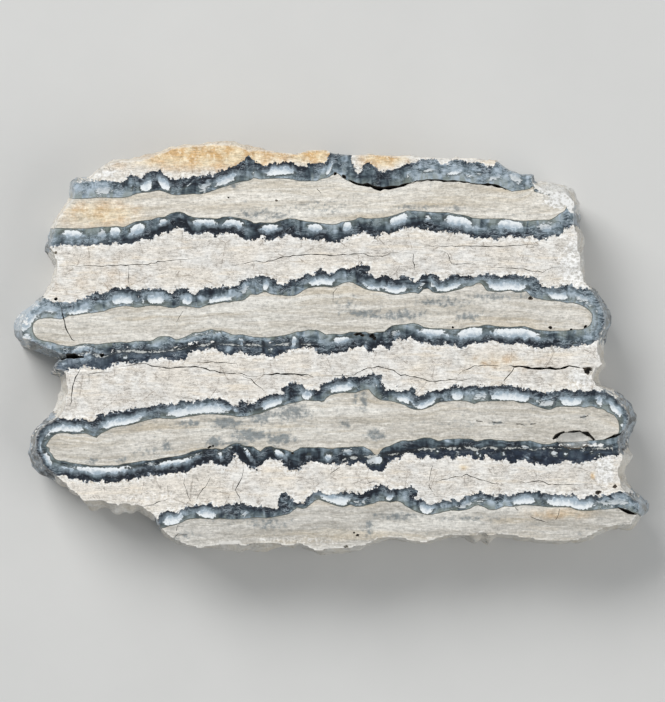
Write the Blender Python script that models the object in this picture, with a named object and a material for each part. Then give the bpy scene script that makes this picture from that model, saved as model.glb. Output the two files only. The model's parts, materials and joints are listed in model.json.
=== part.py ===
"""Slice of a Columbian mammoth molar: one fossil piece, sawn flat above and below.

The slice lies on its sawn underside with the polished face up. The outline is drawn in
millimetres on the polished face, X to the right and Y away from the viewer, and the
finished mesh is in metres with its origin at the middle of its underside.
"""

import math

import bmesh
import bpy
from mathutils import Vector, noise

MM = 0.001

# The slice is a half-inch slab, about 104 mm across its widest plates.
THICKNESS = 13.0
# The tooth's plates lean away from the viewer as they go down through the slab.
LEAN_PER_MM = math.tan(math.radians(7.0))
# Depths below the polished face at which the broken wall changes its outline.
WALL_DEPTHS = (0.0, 0.7, 1.8, 3.2, 5.0, 7.0, 9.2, 11.4, THICKNESS)
# The middle of the slice's box, in the outline's millimetres.
BOX_MIDDLE = (-0.08, 1.11)

# A wall edge longer than this gets points in between.
LONGEST_EDGE = 1.7
# The wall moves out along the outline's direction averaged over this many points each way.
DIRECTION_SPAN = 7

# The two ends are the tooth's own rough sides, which widen below the face.
END_FLARE = 1.3
FLARE_DEPTH = 7.0
# The long sides are a fracture, which wanders from the face's edge as it goes down.
FRACTURE_DEPTH = 2.2
FRACTURE_REACH = 1.0
FRACTURE_GRAIN = 7.5
CHIPPING_REACH = 0.55
CHIPPING_GRAIN = 2.6

# The far side: the broken edge of the gold-tan cementum strip, left to right.
FAR_SIDE = [
    (-43.75, 27.9), (-43.4, 28.4), (-40.8, 28.5), (-40.2, 29.4), (-39.2, 30.6), (-38.3, 31.3),
    (-35.5, 31.95), (-32.5, 32.1), (-30, 32.9), (-27, 34.1), (-25, 34.6), (-20, 34.95),
    (-16.3, 34.9), (-13.9, 33.9), (-11.8, 34), (-9, 33.55), (-6.2, 33.2), (-3.5, 33.85),
    (-1, 34), (0.3, 33.3), (3.5, 33.1), (6.5, 33.15), (10, 32.8), (16, 32.7), (20, 32.4),
    (24, 32.45), (28, 31.8), (30.4, 30.2), (32.4, 29.55), (34, 29.5), (34.1, 28),
    (35.5, 27.3), (37.2, 26.7), (39.7, 26.4),
]

# The right end: three enamel loops that stand proud, with cementum hollows between them.
RIGHT_END = [
    (40.8, 25.2), (41.3, 24.4), (40.8, 23.6), (41.1, 22.8), (40.9, 21), (41.7, 19),
    (41.5, 16.8), (42, 15.6), (42, 13.8), (42.6, 11.1), (43.7, 9.9), (45, 8), (45.9, 5.8),
    (46, 4.2), (45.3, 2.3), (44.65, 0.4), (44.7, -0.9), (45.4, -2.9), (44.1, -3.9),
    (43.65, -4.8), (44.1, -6.3), (45.6, -7.3), (47.3, -8.3), (48.8, -10), (49.7, -11.5),
    (49.75, -12.4), (49.1, -13.7), (48.1, -15), (47.95, -16.6), (48.1, -17.8), (48.7, -18.4),
    (48.3, -19.5), (47.7, -20.8), (48, -22.4), (48.4, -23.9), (49.3, -24.8), (50.4, -25.65),
    (51.2, -26.1), (51.4, -26.9), (51, -27.9), (50.5, -28.6), (49.7, -29.9),
]

# The near side: a fracture through the dentine of the last plate, right to left.
NEAR_SIDE = [
    (48, -30.1), (46.2, -30.25), (44.4, -30.9), (42.8, -31.9), (40.7, -32.5), (38.2, -32.8),
    (36, -32.7), (34, -32.4), (32, -32.15), (29.8, -31.6), (27.6, -31.45), (26.3, -31.9),
    (25, -31.2), (23.8, -32), (22, -31.7), (19.2, -31.8), (17.5, -32.2), (15.8, -32.85),
    (13.6, -32.75), (11.8, -32.2), (9.7, -32), (7.6, -32.3), (6.2, -33.1), (4.6, -33.6),
    (2, -33.75), (-0.5, -34.05), (-2.4, -34.25), (-4, -33.55), (-5.2, -33.1), (-7.2, -33.45),
    (-9.8, -32.95), (-12.7, -33.1), (-14.2, -33.45), (-15.4, -32.75), (-18.2, -32.85),
    (-19.6, -33.65), (-22, -33.85), (-24.2, -33.2), (-26.1, -32.3), (-27.5, -31.2),
    (-28.7, -29.8), (-29.1, -28.5), (-30.3, -27.7), (-31.1, -27.1), (-31.9, -26.6),
    (-32.9, -26.75), (-34, -26.3), (-35.3, -26.7), (-37, -26.4), (-38, -25.8), (-39.3, -26),
    (-41.3, -26.05), (-41.7, -25.1), (-43.1, -24.2), (-44.1, -23.1), (-45.2, -22.1),
]

# The left end: two enamel loops, the lower of them with a broken strip above it.
LEFT_END = [
    (-46.6, -21.1), (-47.8, -20.3), (-48.4, -19), (-49.1, -17.8), (-49.2, -16.6),
    (-49.1, -15), (-48.6, -14), (-47.5, -13), (-46.2, -12.35), (-45.3, -11.6),
    (-44.5, -10.8), (-44.3, -8.8), (-44, -7.5), (-44.3, -5.2), (-44.6, -4.1), (-46.2, -3.8),
    (-46.1, -3), (-45.5, -2.35), (-44.6, -1.8), (-45.4, -1.3), (-47, -0.5), (-48.8, 0.3),
    (-50.6, 1.1), (-51.6, 1.4), (-52.05, 2.6), (-51.9, 4.2), (-51.1, 5.8), (-49.7, 6.9),
    (-48.6, 8.2), (-47.85, 8.7), (-47.1, 10.05), (-46.3, 12), (-46, 14), (-46.8, 16.2),
    (-47.5, 17.3), (-47, 18.5), (-46.6, 20.4), (-46.1, 22), (-44.6, 24.1), (-43.5, 25.5),
    (-43.55, 27),
]

# Broken ledges on the long sides: middle and half-width along X, whether on the near side,
# how far the ledge stands out, and the depths between which it does.
LEDGES = [
    (-34.5, 2.2, True, 1.3, 1.4, 6.0),
    (-17.0, 3.0, True, 1.1, 1.0, 9.0),
    (-11.2, 2.4, True, 0.7, 1.4, 8.0),
    (-39.5, 2.0, True, 0.9, 3.0, 11.0),
    (25.0, 2.4, True, 0.9, 2.0, 8.0),
    (-41.5, 2.0, False, 1.0, 2.0, 9.0),
    (37.0, 3.5, False, 1.2, 1.6, 8.0),
]
LEDGE_LIP = 0.9

# Holes in the polished face: middle, half-length, half-width and depth.
PITS = [
    (44.3, -24.5, 0.5, 0.5, 0.7),
    (33.5, 8.3, 0.5, 0.45, 0.7),
    (36.7, 3.3, 0.5, 0.4, 0.6),
    (4.5, 2.2, 0.75, 0.4, 0.6),
    (6.85, 1.9, 0.6, 0.5, 0.7),
    (-46.15, 8.2, 0.4, 0.4, 0.7),
    (-38.3, -1.4, 0.5, 0.4, 0.6),
    (43.0, -4.0, 0.9, 0.7, 0.9),
    (4.4, -31.6, 0.45, 0.4, 0.6),
]
# The chip at the right end of the third plate, where dentine broke away from enamel.
CHIP = (40.4, -15.65, 3.1, 1.5, 1.5)

FOSSIL_COLOUR = (0.62, 0.55, 0.46, 1.0)
FOSSIL_ROUGHNESS = 0.4


def smooth_step(value):
    """Ease from 0 to 1 as value goes from 0 to 1."""
    value = min(max(value, 0.0), 1.0)
    return value * value * (3.0 - 2.0 * value)


def face_outline():
    """The polished face's edge, clockwise, with long edges parted."""
    corners = [Vector(point) for point in FAR_SIDE + RIGHT_END + NEAR_SIDE + LEFT_END]
    outline = []
    for index, corner in enumerate(corners):
        following = corners[(index + 1) % len(corners)]
        parts = max(1, math.ceil((following - corner).length / LONGEST_EDGE))
        outline.extend(corner.lerp(following, step / parts) for step in range(parts))
    return outline


def outward_directions(outline):
    """The way out of the slice at each point, averaged along the edge."""
    count = len(outline)
    directions = []
    for index in range(count):
        before = outline[(index - DIRECTION_SPAN) % count]
        after = outline[(index + DIRECTION_SPAN) % count]
        along = (after - before).normalized()
        directions.append(Vector((-along.y, along.x)))
    return directions


def ledge_reach(point, outward, depth):
    """How far the broken ledges stand out at a point of the wall."""
    reach = 0.0
    for middle, half_width, is_near, out, top, bottom in LEDGES:
        if (outward.y < 0.0) != is_near:
            continue
        across = 1.0 - abs(point.x - middle) / half_width
        down = min(depth - top + LEDGE_LIP, bottom - depth) / LEDGE_LIP
        reach = max(reach, out * smooth_step(2.0 * across) * smooth_step(down))
    return reach


def wall_reach(point, outward, depth):
    """How far the wall stands out from the face's edge, in millimetres."""
    flare = END_FLARE * outward.x ** 2 * smooth_step(depth / FLARE_DEPTH)
    place = Vector((point.x, point.y, 1.6 * depth))
    wander = FRACTURE_REACH * noise.noise(place / FRACTURE_GRAIN)
    chipping = CHIPPING_REACH * noise.noise(place / CHIPPING_GRAIN)
    fracture = (wander + chipping) * smooth_step(depth / FRACTURE_DEPTH)
    return flare + fracture + ledge_reach(point, outward, depth)


def wall_point(point, outward, depth):
    """A point of the wall in metres, in the finished part's frame."""
    place = point + outward * wall_reach(point, outward, depth)
    x = place.x - BOX_MIDDLE[0]
    y = place.y + LEAN_PER_MM * depth - BOX_MIDDLE[1]
    return Vector((x, y, THICKNESS - depth)) * MM


def on_face(x, y):
    """A point of the polished face in metres, in the finished part's frame."""
    return Vector((x - BOX_MIDDLE[0], y - BOX_MIDDLE[1], THICKNESS)) * MM


def new_object(name, shape, collection):
    """Put a finished bmesh in the scene under a name."""
    mesh = bpy.data.meshes.new(name)
    shape.to_mesh(mesh)
    shape.free()
    thing = bpy.data.objects.new(name, mesh)
    collection.objects.link(thing)
    return thing


def make_slab(collection):
    """The slice itself: a loft through the wall's outlines, closed by two flat faces."""
    outline = face_outline()
    directions = outward_directions(outline)
    shape = bmesh.new()
    rings = [
        [shape.verts.new(wall_point(p, way, depth)) for p, way in zip(outline, directions)]
        for depth in WALL_DEPTHS
    ]
    for upper, lower in zip(rings, rings[1:]):
        for index in range(len(outline)):
            following = (index + 1) % len(outline)
            shape.faces.new((upper[index], upper[following], lower[following], lower[index]))
    caps = [shape.faces.new(rings[0]), shape.faces.new(rings[-1])]
    bmesh.ops.recalc_face_normals(shape, faces=shape.faces)
    bmesh.ops.triangulate(shape, faces=caps, ngon_method="BEAUTY")
    return new_object("tooth_slice", shape, collection)


def make_hollow(name, place, collection):
    """A cutter for a pit or a chip: a faceted ball flattened to its three half-sizes."""
    x, y, half_length, half_width, depth = place
    shape = bmesh.new()
    bmesh.ops.create_icosphere(shape, subdivisions=2, radius=1.0)
    bmesh.ops.scale(shape, vec=Vector((half_length, half_width, depth)) * MM, verts=shape.verts)
    bmesh.ops.translate(shape, vec=on_face(x, y), verts=shape.verts)
    return new_object(name, shape, collection)


def cut(slab, cutter):
    """Take a cutter's shape out of the slab with a live Boolean."""
    cutter.hide_render = True
    cutter.display_type = "WIRE"
    boolean = slab.modifiers.new(cutter.name, "BOOLEAN")
    boolean.operation = "DIFFERENCE"
    boolean.object = cutter


def fossil_material():
    """Cream and beige fossil tooth, polished."""
    material = bpy.data.materials.new("fossil_tooth")
    material.use_nodes = True
    shader = material.node_tree.nodes["Principled BSDF"]
    shader.inputs["Base Color"].default_value = FOSSIL_COLOUR
    shader.inputs["Roughness"].default_value = FOSSIL_ROUGHNESS
    shader.inputs["Metallic"].default_value = 0.0
    return material


def main():
    for thing in list(bpy.data.objects):
        bpy.data.objects.remove(thing, do_unlink=True)
    parts = bpy.data.collections.new("mammoth_tooth_slice")
    cutters = bpy.data.collections.new("cutters")
    bpy.context.scene.collection.children.link(parts)
    bpy.context.scene.collection.children.link(cutters)

    slab = make_slab(parts)
    slab.data.materials.append(fossil_material())
    cut(slab, make_hollow("chip", CHIP, cutters))
    for number, pit in enumerate(PITS, start=1):
        cut(slab, make_hollow(f"pit_{number}", pit, cutters))


main()
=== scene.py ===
"""Looks of a Columbian mammoth tooth slice: a sawn and polished fossil slab on a pale floor."""

import json
import math

import bmesh
import bpy
import mathutils
import numpy as np
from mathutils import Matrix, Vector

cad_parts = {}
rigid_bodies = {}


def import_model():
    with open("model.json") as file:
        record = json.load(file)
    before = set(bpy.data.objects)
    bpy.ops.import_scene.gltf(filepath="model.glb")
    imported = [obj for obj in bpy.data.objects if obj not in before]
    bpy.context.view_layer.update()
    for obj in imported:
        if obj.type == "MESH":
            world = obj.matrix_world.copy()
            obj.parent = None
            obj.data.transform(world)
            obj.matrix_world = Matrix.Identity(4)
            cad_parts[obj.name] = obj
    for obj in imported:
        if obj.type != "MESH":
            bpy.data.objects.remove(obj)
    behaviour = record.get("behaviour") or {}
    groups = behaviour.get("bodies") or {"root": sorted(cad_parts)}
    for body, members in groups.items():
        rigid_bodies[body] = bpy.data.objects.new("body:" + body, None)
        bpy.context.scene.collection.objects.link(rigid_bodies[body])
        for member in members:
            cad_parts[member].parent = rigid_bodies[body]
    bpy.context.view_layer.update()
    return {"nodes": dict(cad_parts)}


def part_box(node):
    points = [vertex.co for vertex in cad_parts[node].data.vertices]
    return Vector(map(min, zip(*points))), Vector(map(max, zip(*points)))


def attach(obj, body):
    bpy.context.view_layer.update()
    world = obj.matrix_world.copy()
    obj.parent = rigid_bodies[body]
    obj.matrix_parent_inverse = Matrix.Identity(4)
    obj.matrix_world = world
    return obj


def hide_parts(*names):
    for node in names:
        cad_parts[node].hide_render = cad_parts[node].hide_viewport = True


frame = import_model()


# The slab.
# A fossil molar sawn across into a half-inch slice. The upper face is polished; the long
# sides are fractures, and the two ends are the tooth's own rough flanks.
MM = 0.001
cad_low, cad_high = (np.array(corner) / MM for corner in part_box("tooth_slice"))
THICKNESS = cad_high[2] - cad_low[2]
FACE_MIDDLE = np.array([0.08, -1.11])  # the face's drawing centre in the slab's own frame, mm
LEAN_PER_MM = math.tan(math.radians(7.0))
# In mm: the welding distance, the skin's voxels, the height that stays flat at each sawn
# face, and the height over which the fracture's relief then grows to its full strength.
WELD = 0.002
VOXEL = 0.44
FLAT_BAND = 0.32
RELIEF_GROWS = 1.6
RELIEF_LEVELS = 10


def select_only(thing):
    """Make one object the only selected and the active one."""
    bpy.context.view_layer.update()
    for other in bpy.context.view_layer.objects:
        other.select_set(other is thing)
    bpy.context.view_layer.objects.active = thing


def positions(thing):
    """The vertices of a mesh object as an array in millimetres."""
    flat = np.empty(len(thing.data.vertices) * 3)
    thing.data.vertices.foreach_get("co", flat)
    return flat.reshape(-1, 3) / MM


def move_to(thing, places):
    """Put the vertices of a mesh object at places given in millimetres."""
    thing.data.vertices.foreach_set("co", (places * MM).ravel())
    thing.data.update()


def apply_modifier(thing, name, kind, **settings):
    """Add a modifier with its settings and apply it."""
    modifier = thing.modifiers.new(name, kind)
    for setting, value in settings.items():
        setattr(modifier, setting, value)
    select_only(thing)
    bpy.ops.object.modifier_apply(modifier=name)


def face_edge_of(thing):
    """The polished face's outline, in order, as points on the face's drawing, mm."""
    shape = bmesh.new()
    shape.from_mesh(thing.data)
    top = (THICKNESS - 0.01) * MM
    following = {}
    for edge in shape.edges:
        if all(end.co.z > top for end in edge.verts):
            level = [face for face in edge.link_faces if face.normal.z > 0.99]
            if len(level) == 1:
                start, end = edge.verts
                following.setdefault(start, []).append(end)
                following.setdefault(end, []).append(start)
    leftmost = min(following, key=lambda point: point.co.x)
    outline = [leftmost]
    last, here = leftmost, following[leftmost][0]
    while here is not leftmost:
        outline.append(here)
        onward = [point for point in following[here] if point is not last]
        last, here = here, onward[0]
    points = np.array([point.co[:2] for point in outline]) / MM - FACE_MIDDLE
    shape.free()
    return points


slab = bpy.data.objects.new("tooth_slab", frame["nodes"]["tooth_slice"].data.copy())
polished = bpy.data.materials.new("tooth_polished")
slab.data.materials.clear()
slab.data.materials.append(polished)
bpy.context.scene.collection.objects.link(slab)
select_only(slab)
bpy.ops.object.mode_set(mode="EDIT")
bpy.ops.mesh.select_all(action="SELECT")
bpy.ops.mesh.remove_doubles(threshold=WELD * MM)
bpy.ops.object.mode_set(mode="OBJECT")
face_edge = face_edge_of(slab)

apply_modifier(slab, "fine skin", "REMESH", mode="VOXEL", voxel_size=VOXEL * MM)

# The fracture is rougher than the drawn wall: grain, flakes and small steps, none on the
# two sawn faces, and least at their rims so that the outline stays sharp.
places = positions(slab)
rim = np.minimum(places[:, 2], THICKNESS - places[:, 2])
wall_weight = np.clip((rim - FLAT_BAND) / RELIEF_GROWS, 0.0, 1.0)
walls = slab.vertex_groups.new(name="walls")
for level in range(1, RELIEF_LEVELS + 1):
    chosen = np.flatnonzero(np.ceil(wall_weight * RELIEF_LEVELS) == level)
    walls.add(chosen.tolist(), level / RELIEF_LEVELS, "REPLACE")
for name, kind, size, reach in (
    ("fracture steps", "VORONOI", 3.4, 0.75),
    ("fracture flakes", "CLOUDS", 1.5, 0.62),
    ("fracture grain", "CLOUDS", 0.55, 0.3),
):
    texture = bpy.data.textures.new(name, kind)
    texture.noise_scale = size * MM
    if kind == "VORONOI":
        texture.distance_metric = "DISTANCE_SQUARED"
    else:
        texture.noise_depth = 2
    apply_modifier(
        slab, name, "DISPLACE",
        texture=texture, strength=-reach * MM, mid_level=0.45, vertex_group="walls",
    )
places = positions(slab)
places[places[:, 2] > THICKNESS - FLAT_BAND, 2] = THICKNESS
places[places[:, 2] < FLAT_BAND, 2] = 0.0
move_to(slab, np.clip(places, cad_low, cad_high))


# Cracks, gaps and pits.
# Drying and burial cracks run along the plates in the cementum; a few stand open. Pits mark
# pores, and a chip has fallen out beside the third plate's right end.
# In mm: how far the cutters stand above the face, a crack's longest straight step, how far
# its steps sway, and the opening from which a gap keeps to the points of its line.
CRACK_ABOVE = 0.4
CRACK_STEP = 0.8
CRACK_SWAY = 0.13
GAP_OPENING = 0.5

# Each crack: its widest opening and depth, mm, and the line it follows on the face.
CRACKS = [
    (0.42, 1.5, [(29.3, -3.25), (30.7, -3.3), (32.1, -3.4), (33.6, -3.6), (35.7, -3.7),
                 (37.5, -3.65), (39.1, -3.5), (39.8, -3.3), (41.1, -3.35), (42, -3.5)]),
    (0.20, 0.9, [(30.6, -3.45), (30.2, -4.05), (29.5, -4.85), (28.75, -5.65)]),
    (0.20, 0.7, [(-36.1, -3.6), (-33.8, -3.25), (-32.6, -2.95), (-30.8, -2.8), (-29.9, -3.15),
                 (-27.6, -3.6), (-25, -3.3), (-22.7, -3.35), (-20.2, -3.95), (-17.7, -4.45),
                 (-14.9, -4.5), (-14, -4.95), (-12.4, -4.95), (-11.3, -4.7)]),
    (0.30, 0.9, [(-11.3, -4.7), (-10, -4.65), (-9, -4.5), (-7.7, -4.7), (-5.9, -4.65),
                 (-4, -4.7), (-2.9, -5.1)]),
    (0.16, 0.6, [(-2.9, -5.1), (-2, -4.9), (1.1, -4.85), (3.8, -4.75), (4.9, -4.15),
                 (6.1, -3.7), (7.9, -3.4), (9, -3.65), (10.4, -4.05), (11.7, -4.7), (14, -5.05),
                 (16.1, -5.75), (17.6, -5.85), (19, -5.6), (22, -5.55), (23.6, -5.25),
                 (25.4, -5.3), (27, -5.65)]),
    (0.14, 0.5, [(-23, -2.6), (-20.75, -2.55), (-18.4, -2.6), (-15.9, -2.8), (-15.4, -3.6)]),
    (0.14, 0.5, [(-14.7, -5.0), (-13.4, -5.4), (-12.2, -6.65), (-11.1, -7.5)]),
    (0.14, 0.5, [(21.1, -4.85), (22.2, -3.9), (24, -3.25), (25.4, -3.1), (28.6, -3.2)]),
    (0.18, 0.7, [(-41.7, -3.4), (-42.2, -4.5), (-42.9, -5.9), (-43.2, -8.4), (-43.5, -10)]),
    (0.12, 0.4, [(-40.4, -6.3), (-40.4, -4.6), (-36.5, -4.15)]),
    (0.14, 0.5, [(-45.8, 13.8), (-40, 13.8), (-36, 13.9), (-33, 14), (-31, 14.1), (-29, 14.5),
                 (-26, 15), (-23.5, 15.1), (-21.5, 15.1)]),
    (0.16, 0.6, [(-18, 13.5), (-16, 14), (-14, 14.4), (-12.5, 14.7), (-11.2, 14.4),
                 (-10, 14.8), (-8.5, 15.2), (-7, 15.4), (-5, 15.8), (-1, 15.7), (3, 15.7),
                 (5.5, 15.9), (6.3, 15.5), (8.5, 15.5), (10, 16), (13.5, 16.2)]),
    (0.14, 0.5, [(14.5, 17), (17, 17.3), (21, 17.2), (30, 17.2), (33, 17.5), (36, 17.4)]),
    (0.16, 0.6, [(13.9, 15.9), (13.8, 14.6), (14, 13.2)]),
    (0.12, 0.4, [(18, 16.5), (19.5, 16.1), (20, 14.8), (20.3, 14.1), (24, 14.3)]),
    (0.12, 0.4, [(26, 13.6), (31, 13.4), (34, 13), (35.5, 12.8), (37, 13.5), (38.5, 13.6)]),
    (0.22, 0.8, [(-45.7, 7.6), (-45.2, 6.7), (-44.8, 5), (-44.4, 3.6), (-43.9, 2.2),
                 (-43.3, 1.4), (-42.8, 1.1)]),
    (0.72, 1.6, [(2.9, 28.7), (3.6, 28.3), (4.4, 27.95), (6.2, 27.8), (7.4, 27.3), (8.3, 27.1),
                 (10.5, 27.4), (12.2, 27.75), (13.6, 28.15)]),
    (0.36, 1.0, [(13.2, 28.0), (14.4, 28.45), (17, 28.65), (19, 28.4), (21, 28.45), (23, 28.2),
                 (25.6, 27.9)]),
    (0.52, 1.4, [(25.0, 27.95), (26.4, 27.85), (27.6, 27.7), (28.8, 27.35), (29.6, 27.0)]),
    (1.00, 2.6, [(-47.3, -1.9), (-45.6, -1.8), (-44.3, -1.6), (-42.9, -1.55), (-41.3, -1.7)]),
    (0.50, 1.6, [(45.6, -15.6), (46.6, -15.25), (47.3, -15.0), (48.6, -14.3)]),
    (0.60, 1.6, [(47.5, -27.0), (48.4, -27.4), (49.3, -27.8), (51.2, -28.2)]),
    (0.80, 1.4, [(36.9, -15.6), (37.6, -15.1), (38.2, -14.6), (38.9, -14.35)]),
    (0.42, 1.1, [(38.3, -14.5), (39.4, -14.3), (40.4, -14.2), (41.4, -14.3), (42.4, -14.6)]),
    (0.85, 1.4, [(41.8, -14.45), (42.6, -14.7), (43.2, -15.1), (43.8, -15.75)]),
    (0.14, 0.5, [(0.1, -21.2), (0.8, -20.7), (1.5, -20.3)]),
    (0.12, 0.4, [(6, -23), (7, -22.8), (8, -22.9)]),
    (0.12, 0.4, [(30.5, -27), (31, -27.6)]),
    (0.12, 0.4, [(-25.6, -30.9), (-25.4, -30.1), (-24.5, -30.2)]),
    (0.12, 0.4, [(-25.9, -32), (-25.2, -31.5), (-23.8, -31.4)]),
    (0.14, 0.5, [(-14.6, -20.2), (-14.55, -21), (-14.8, -22), (-15.3, -23), (-15.8, -24),
                 (-15.4, -24.7), (-15.15, -25.2), (-15.1, -26)]),
    (0.13, 0.5, [(-20, -22), (-20.4, -22.9), (-21.2, -24), (-21.9, -25), (-22.3, -25.7)]),
    (0.10, 0.4, [(-24.3, -22), (-24.3, -23), (-24, -24), (-23.6, -25), (-23.3, -26)]),
    (0.12, 0.4, [(16.9, -20), (16.5, -21.5), (16.3, -22.5)]),
    (0.12, 0.4, [(16.3, -23), (16.4, -23.6), (16.8, -24.5)]),
    (0.14, 0.5, [(16.7, -22.8), (18, -22.6), (20, -22), (21.5, -21.8), (22.5, -21.5),
                 (23.8, -22), (24.7, -22.4), (26.2, -22.7), (27.5, -23.1), (29, -23.5)]),
    (0.14, 0.5, [(29.2, -22.85), (31, -22.75), (33, -22.9), (33.6, -22.6), (34.5, -22.45),
                 (35.4, -22.7), (36, -23.1), (38, -23.15), (42, -23.15)]),
    (0.13, 0.5, [(-31, -26.85), (-29.5, -26.5), (-28.3, -26), (-27, -25.6)]),
    (0.12, 0.4, [(37.9, -27.2), (37.6, -28), (37.3, -29.2)]),
    (0.14, 0.4, [(33, -28.5), (34.3, -29.0), (35.8, -29.4)]),
    (0.12, 0.4, [(-2.4, 27.1), (-2.0, 26.6), (-1.6, 26.3)]),
    (0.12, 0.4, [(1, 10), (0.4, 9.3), (0.2, 7.8)]),
    (0.10, 0.4, [(-34, 14), (-34.1, 12), (-33.9, 9.8)]),
    (0.10, 0.4, [(-24.8, 6.1), (-25.3, 5.2), (-25.9, 4.2)]),
    (0.18, 0.3, [(24.2, -12.5), (25.3, -12.6)]),
    (0.18, 0.3, [(26.8, -12.65), (28.5, -12.8)]),
    (0.18, 0.3, [(30.8, -13), (32.3, -13.2)]),
    (0.18, 0.3, [(33.2, -13.05), (34.2, -12.9)]),
    (0.22, 0.4, [(41.5, -11.9), (42.2, -11.8), (42.9, -11.6)]),
]

# Each pit: its middle on the face, half-length, half-width, depth and turn in degrees.
PITS = [
    (44.3, -24.5, 0.62, 0.4, 0.35, 10),
    (33.5, 8.3, 0.5, 0.36, 0.35, 0),
    (36.7, 3.3, 0.44, 0.3, 0.5, 0),
    (40.2, 3.0, 0.3, 0.22, 0.5, 0),
    (42.6, 3.5, 0.38, 0.26, 0.6, 40),
    (20.4, 3.35, 0.26, 0.22, 0.5, 0),
    (4.5, 2.2, 0.8, 0.34, 0.6, 15),
    (5.2, 2.0, 0.5, 0.26, 0.5, -10),
    (6.85, 1.9, 0.6, 0.5, 0.7, -20),
    (7.3, 1.5, 0.4, 0.4, 0.5, 0),
    (-46.15, 8.15, 0.42, 0.32, 0.5, 0),
    (-38.3, -1.4, 0.5, 0.38, 0.7, 0),
    (42.7, -3.8, 0.9, 0.4, 0.2, -15),
    (43.3, -4.5, 0.55, 0.3, 0.2, 60),
    (4.4, -31.6, 0.34, 0.3, 0.3, 0),
    (3.8, -31.2, 0.22, 0.2, 0.25, 0),
    (2.5, -33.5, 0.5, 0.3, 0.8, 0),
    (0.7, 29.7, 0.42, 0.28, 0.6, 60),
    (2.2, 29.2, 0.5, 0.34, 0.7, -50),
    (-46.3, 16.1, 0.36, 0.3, 0.6, 0),
    (-20.2, -16.9, 0.45, 0.24, 0.5, 25),
    (-19.6, -16.7, 0.25, 0.2, 0.4, 0),
    (47.1, -23.5, 0.5, 0.42, 0.2, 0),
    (-6.4, -17.9, 0.26, 0.22, 0.4, 0),
    (-17.3, 25.6, 0.2, 0.16, 0.3, 0),
    (-9.2, 25.1, 0.3, 0.2, 0.12, 0),
]
# The chip, in the same terms.
CHIP = (40.4, -15.6, 3.1, 1.35, 0.9, -2)

crooked = np.random.default_rng(7)
hollows = bpy.data.collections.new("hollows")
bpy.context.scene.collection.children.link(hollows)


def on_slab(x, y, depth=0.0):
    """A point of the drawing, at a depth below the face, in the slab's frame in metres."""
    along = (x + FACE_MIDDLE[0]) * MM
    across = (y + FACE_MIDDLE[1]) * MM
    return (along, across, (THICKNESS - depth) * MM)


def jagged(line, opening):
    """A crack's line with short, slightly crooked steps between its points."""
    points = [np.array(line[0], dtype=float)]
    for start, end in zip(line, line[1:]):
        start, end = np.array(start), np.array(end)
        steps = max(1, round(np.linalg.norm(end - start) / CRACK_STEP))
        for step in range(1, steps + 1):
            sway = 0.0
            if step < steps or opening < GAP_OPENING:
                sway = crooked.uniform(-CRACK_SWAY, CRACK_SWAY, 2)
            points.append(start + (end - start) * step / steps + sway)
    return np.array(points)


def cut_crack(name, opening, depth, line):
    """A wedge along a crack, widest in its middle and closing to its ends and downwards."""
    points = jagged(line, opening)
    shape = bmesh.new()
    sections = []
    for index, point in enumerate(points):
        before = points[max(index - 1, 0)]
        after = points[min(index + 1, len(points) - 1)]
        along = (after - before) / np.linalg.norm(after - before)
        side = np.array([-along[1], along[0]])
        swell = math.sin(math.pi * (index + 0.5) / len(points)) ** 0.5
        # The opening also swells and narrows unevenly from point to point.
        swell *= 0.78 + 0.22 * math.sin(2.3 * index + 7.0 * opening)
        half = 0.6 * opening * swell * (1.0 + CRACK_ABOVE / depth)
        left, right = point + side * half, point - side * half
        sections.append([
            shape.verts.new(on_slab(*left, -CRACK_ABOVE)),
            shape.verts.new(on_slab(*right, -CRACK_ABOVE)),
            shape.verts.new(on_slab(*point, depth * swell)),
        ])
    for first, second in zip(sections, sections[1:]):
        for index in range(3):
            following = (index + 1) % 3
            shape.faces.new((first[index], first[following], second[following], second[index]))
    shape.faces.new(sections[0])
    shape.faces.new(sections[-1])
    bmesh.ops.recalc_face_normals(shape, faces=shape.faces)
    mesh = bpy.data.meshes.new(name)
    shape.to_mesh(mesh)
    shape.free()
    wedge = bpy.data.objects.new(name, mesh)
    hollows.objects.link(wedge)
    return wedge


def cut_pit(name, x, y, half_length, half_width, depth, turn):
    """A lumpy pocket let into the face."""
    bpy.ops.mesh.primitive_ico_sphere_add(subdivisions=2, radius=1.0, location=on_slab(x, y))
    pocket = bpy.context.object
    pocket.name = name
    for vertex in pocket.data.vertices:
        vertex.co *= crooked.uniform(0.62, 1.08)
    pocket.rotation_euler.z = math.radians(turn)
    pocket.scale = (half_length * MM, half_width * MM, depth * MM)
    bpy.ops.object.transform_apply(location=True, rotation=True, scale=True)
    for owner in pocket.users_collection:
        owner.objects.unlink(pocket)
    hollows.objects.link(pocket)
    return pocket


cutters = [cut_crack(f"crack_{n}", *crack) for n, crack in enumerate(CRACKS)]
cutters += [cut_pit(f"pit_{n}", *pit) for n, pit in enumerate(PITS)]
cutters.append(cut_pit("chip", *CHIP))
apply_modifier(
    slab, "cracks and pits", "BOOLEAN",
    operation="DIFFERENCE", operand_type="COLLECTION", collection=hollows, solver="MANIFOLD",
)
for cutter in cutters:
    bpy.data.objects.remove(cutter, do_unlink=True)
bpy.data.collections.remove(hollows)
bpy.context.view_layer.update()
select_only(slab)
bpy.ops.object.shade_smooth_by_angle(angle=math.radians(38.0))


# The tooth's plates.
# Four enamel plates run across the face, each a flat loop of enamel with dentine inside and
# cementum between, so seven bands are seen. The lines were read in millimetres on the face's
# drawing: inner ones are where enamel meets dentine, outer ones where it meets cementum.
def traced(text):
    """A line of the drawing, from its points written as x y pairs."""
    return np.array([[float(value) for value in pair.split()] for pair in text.split(",")])


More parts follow.
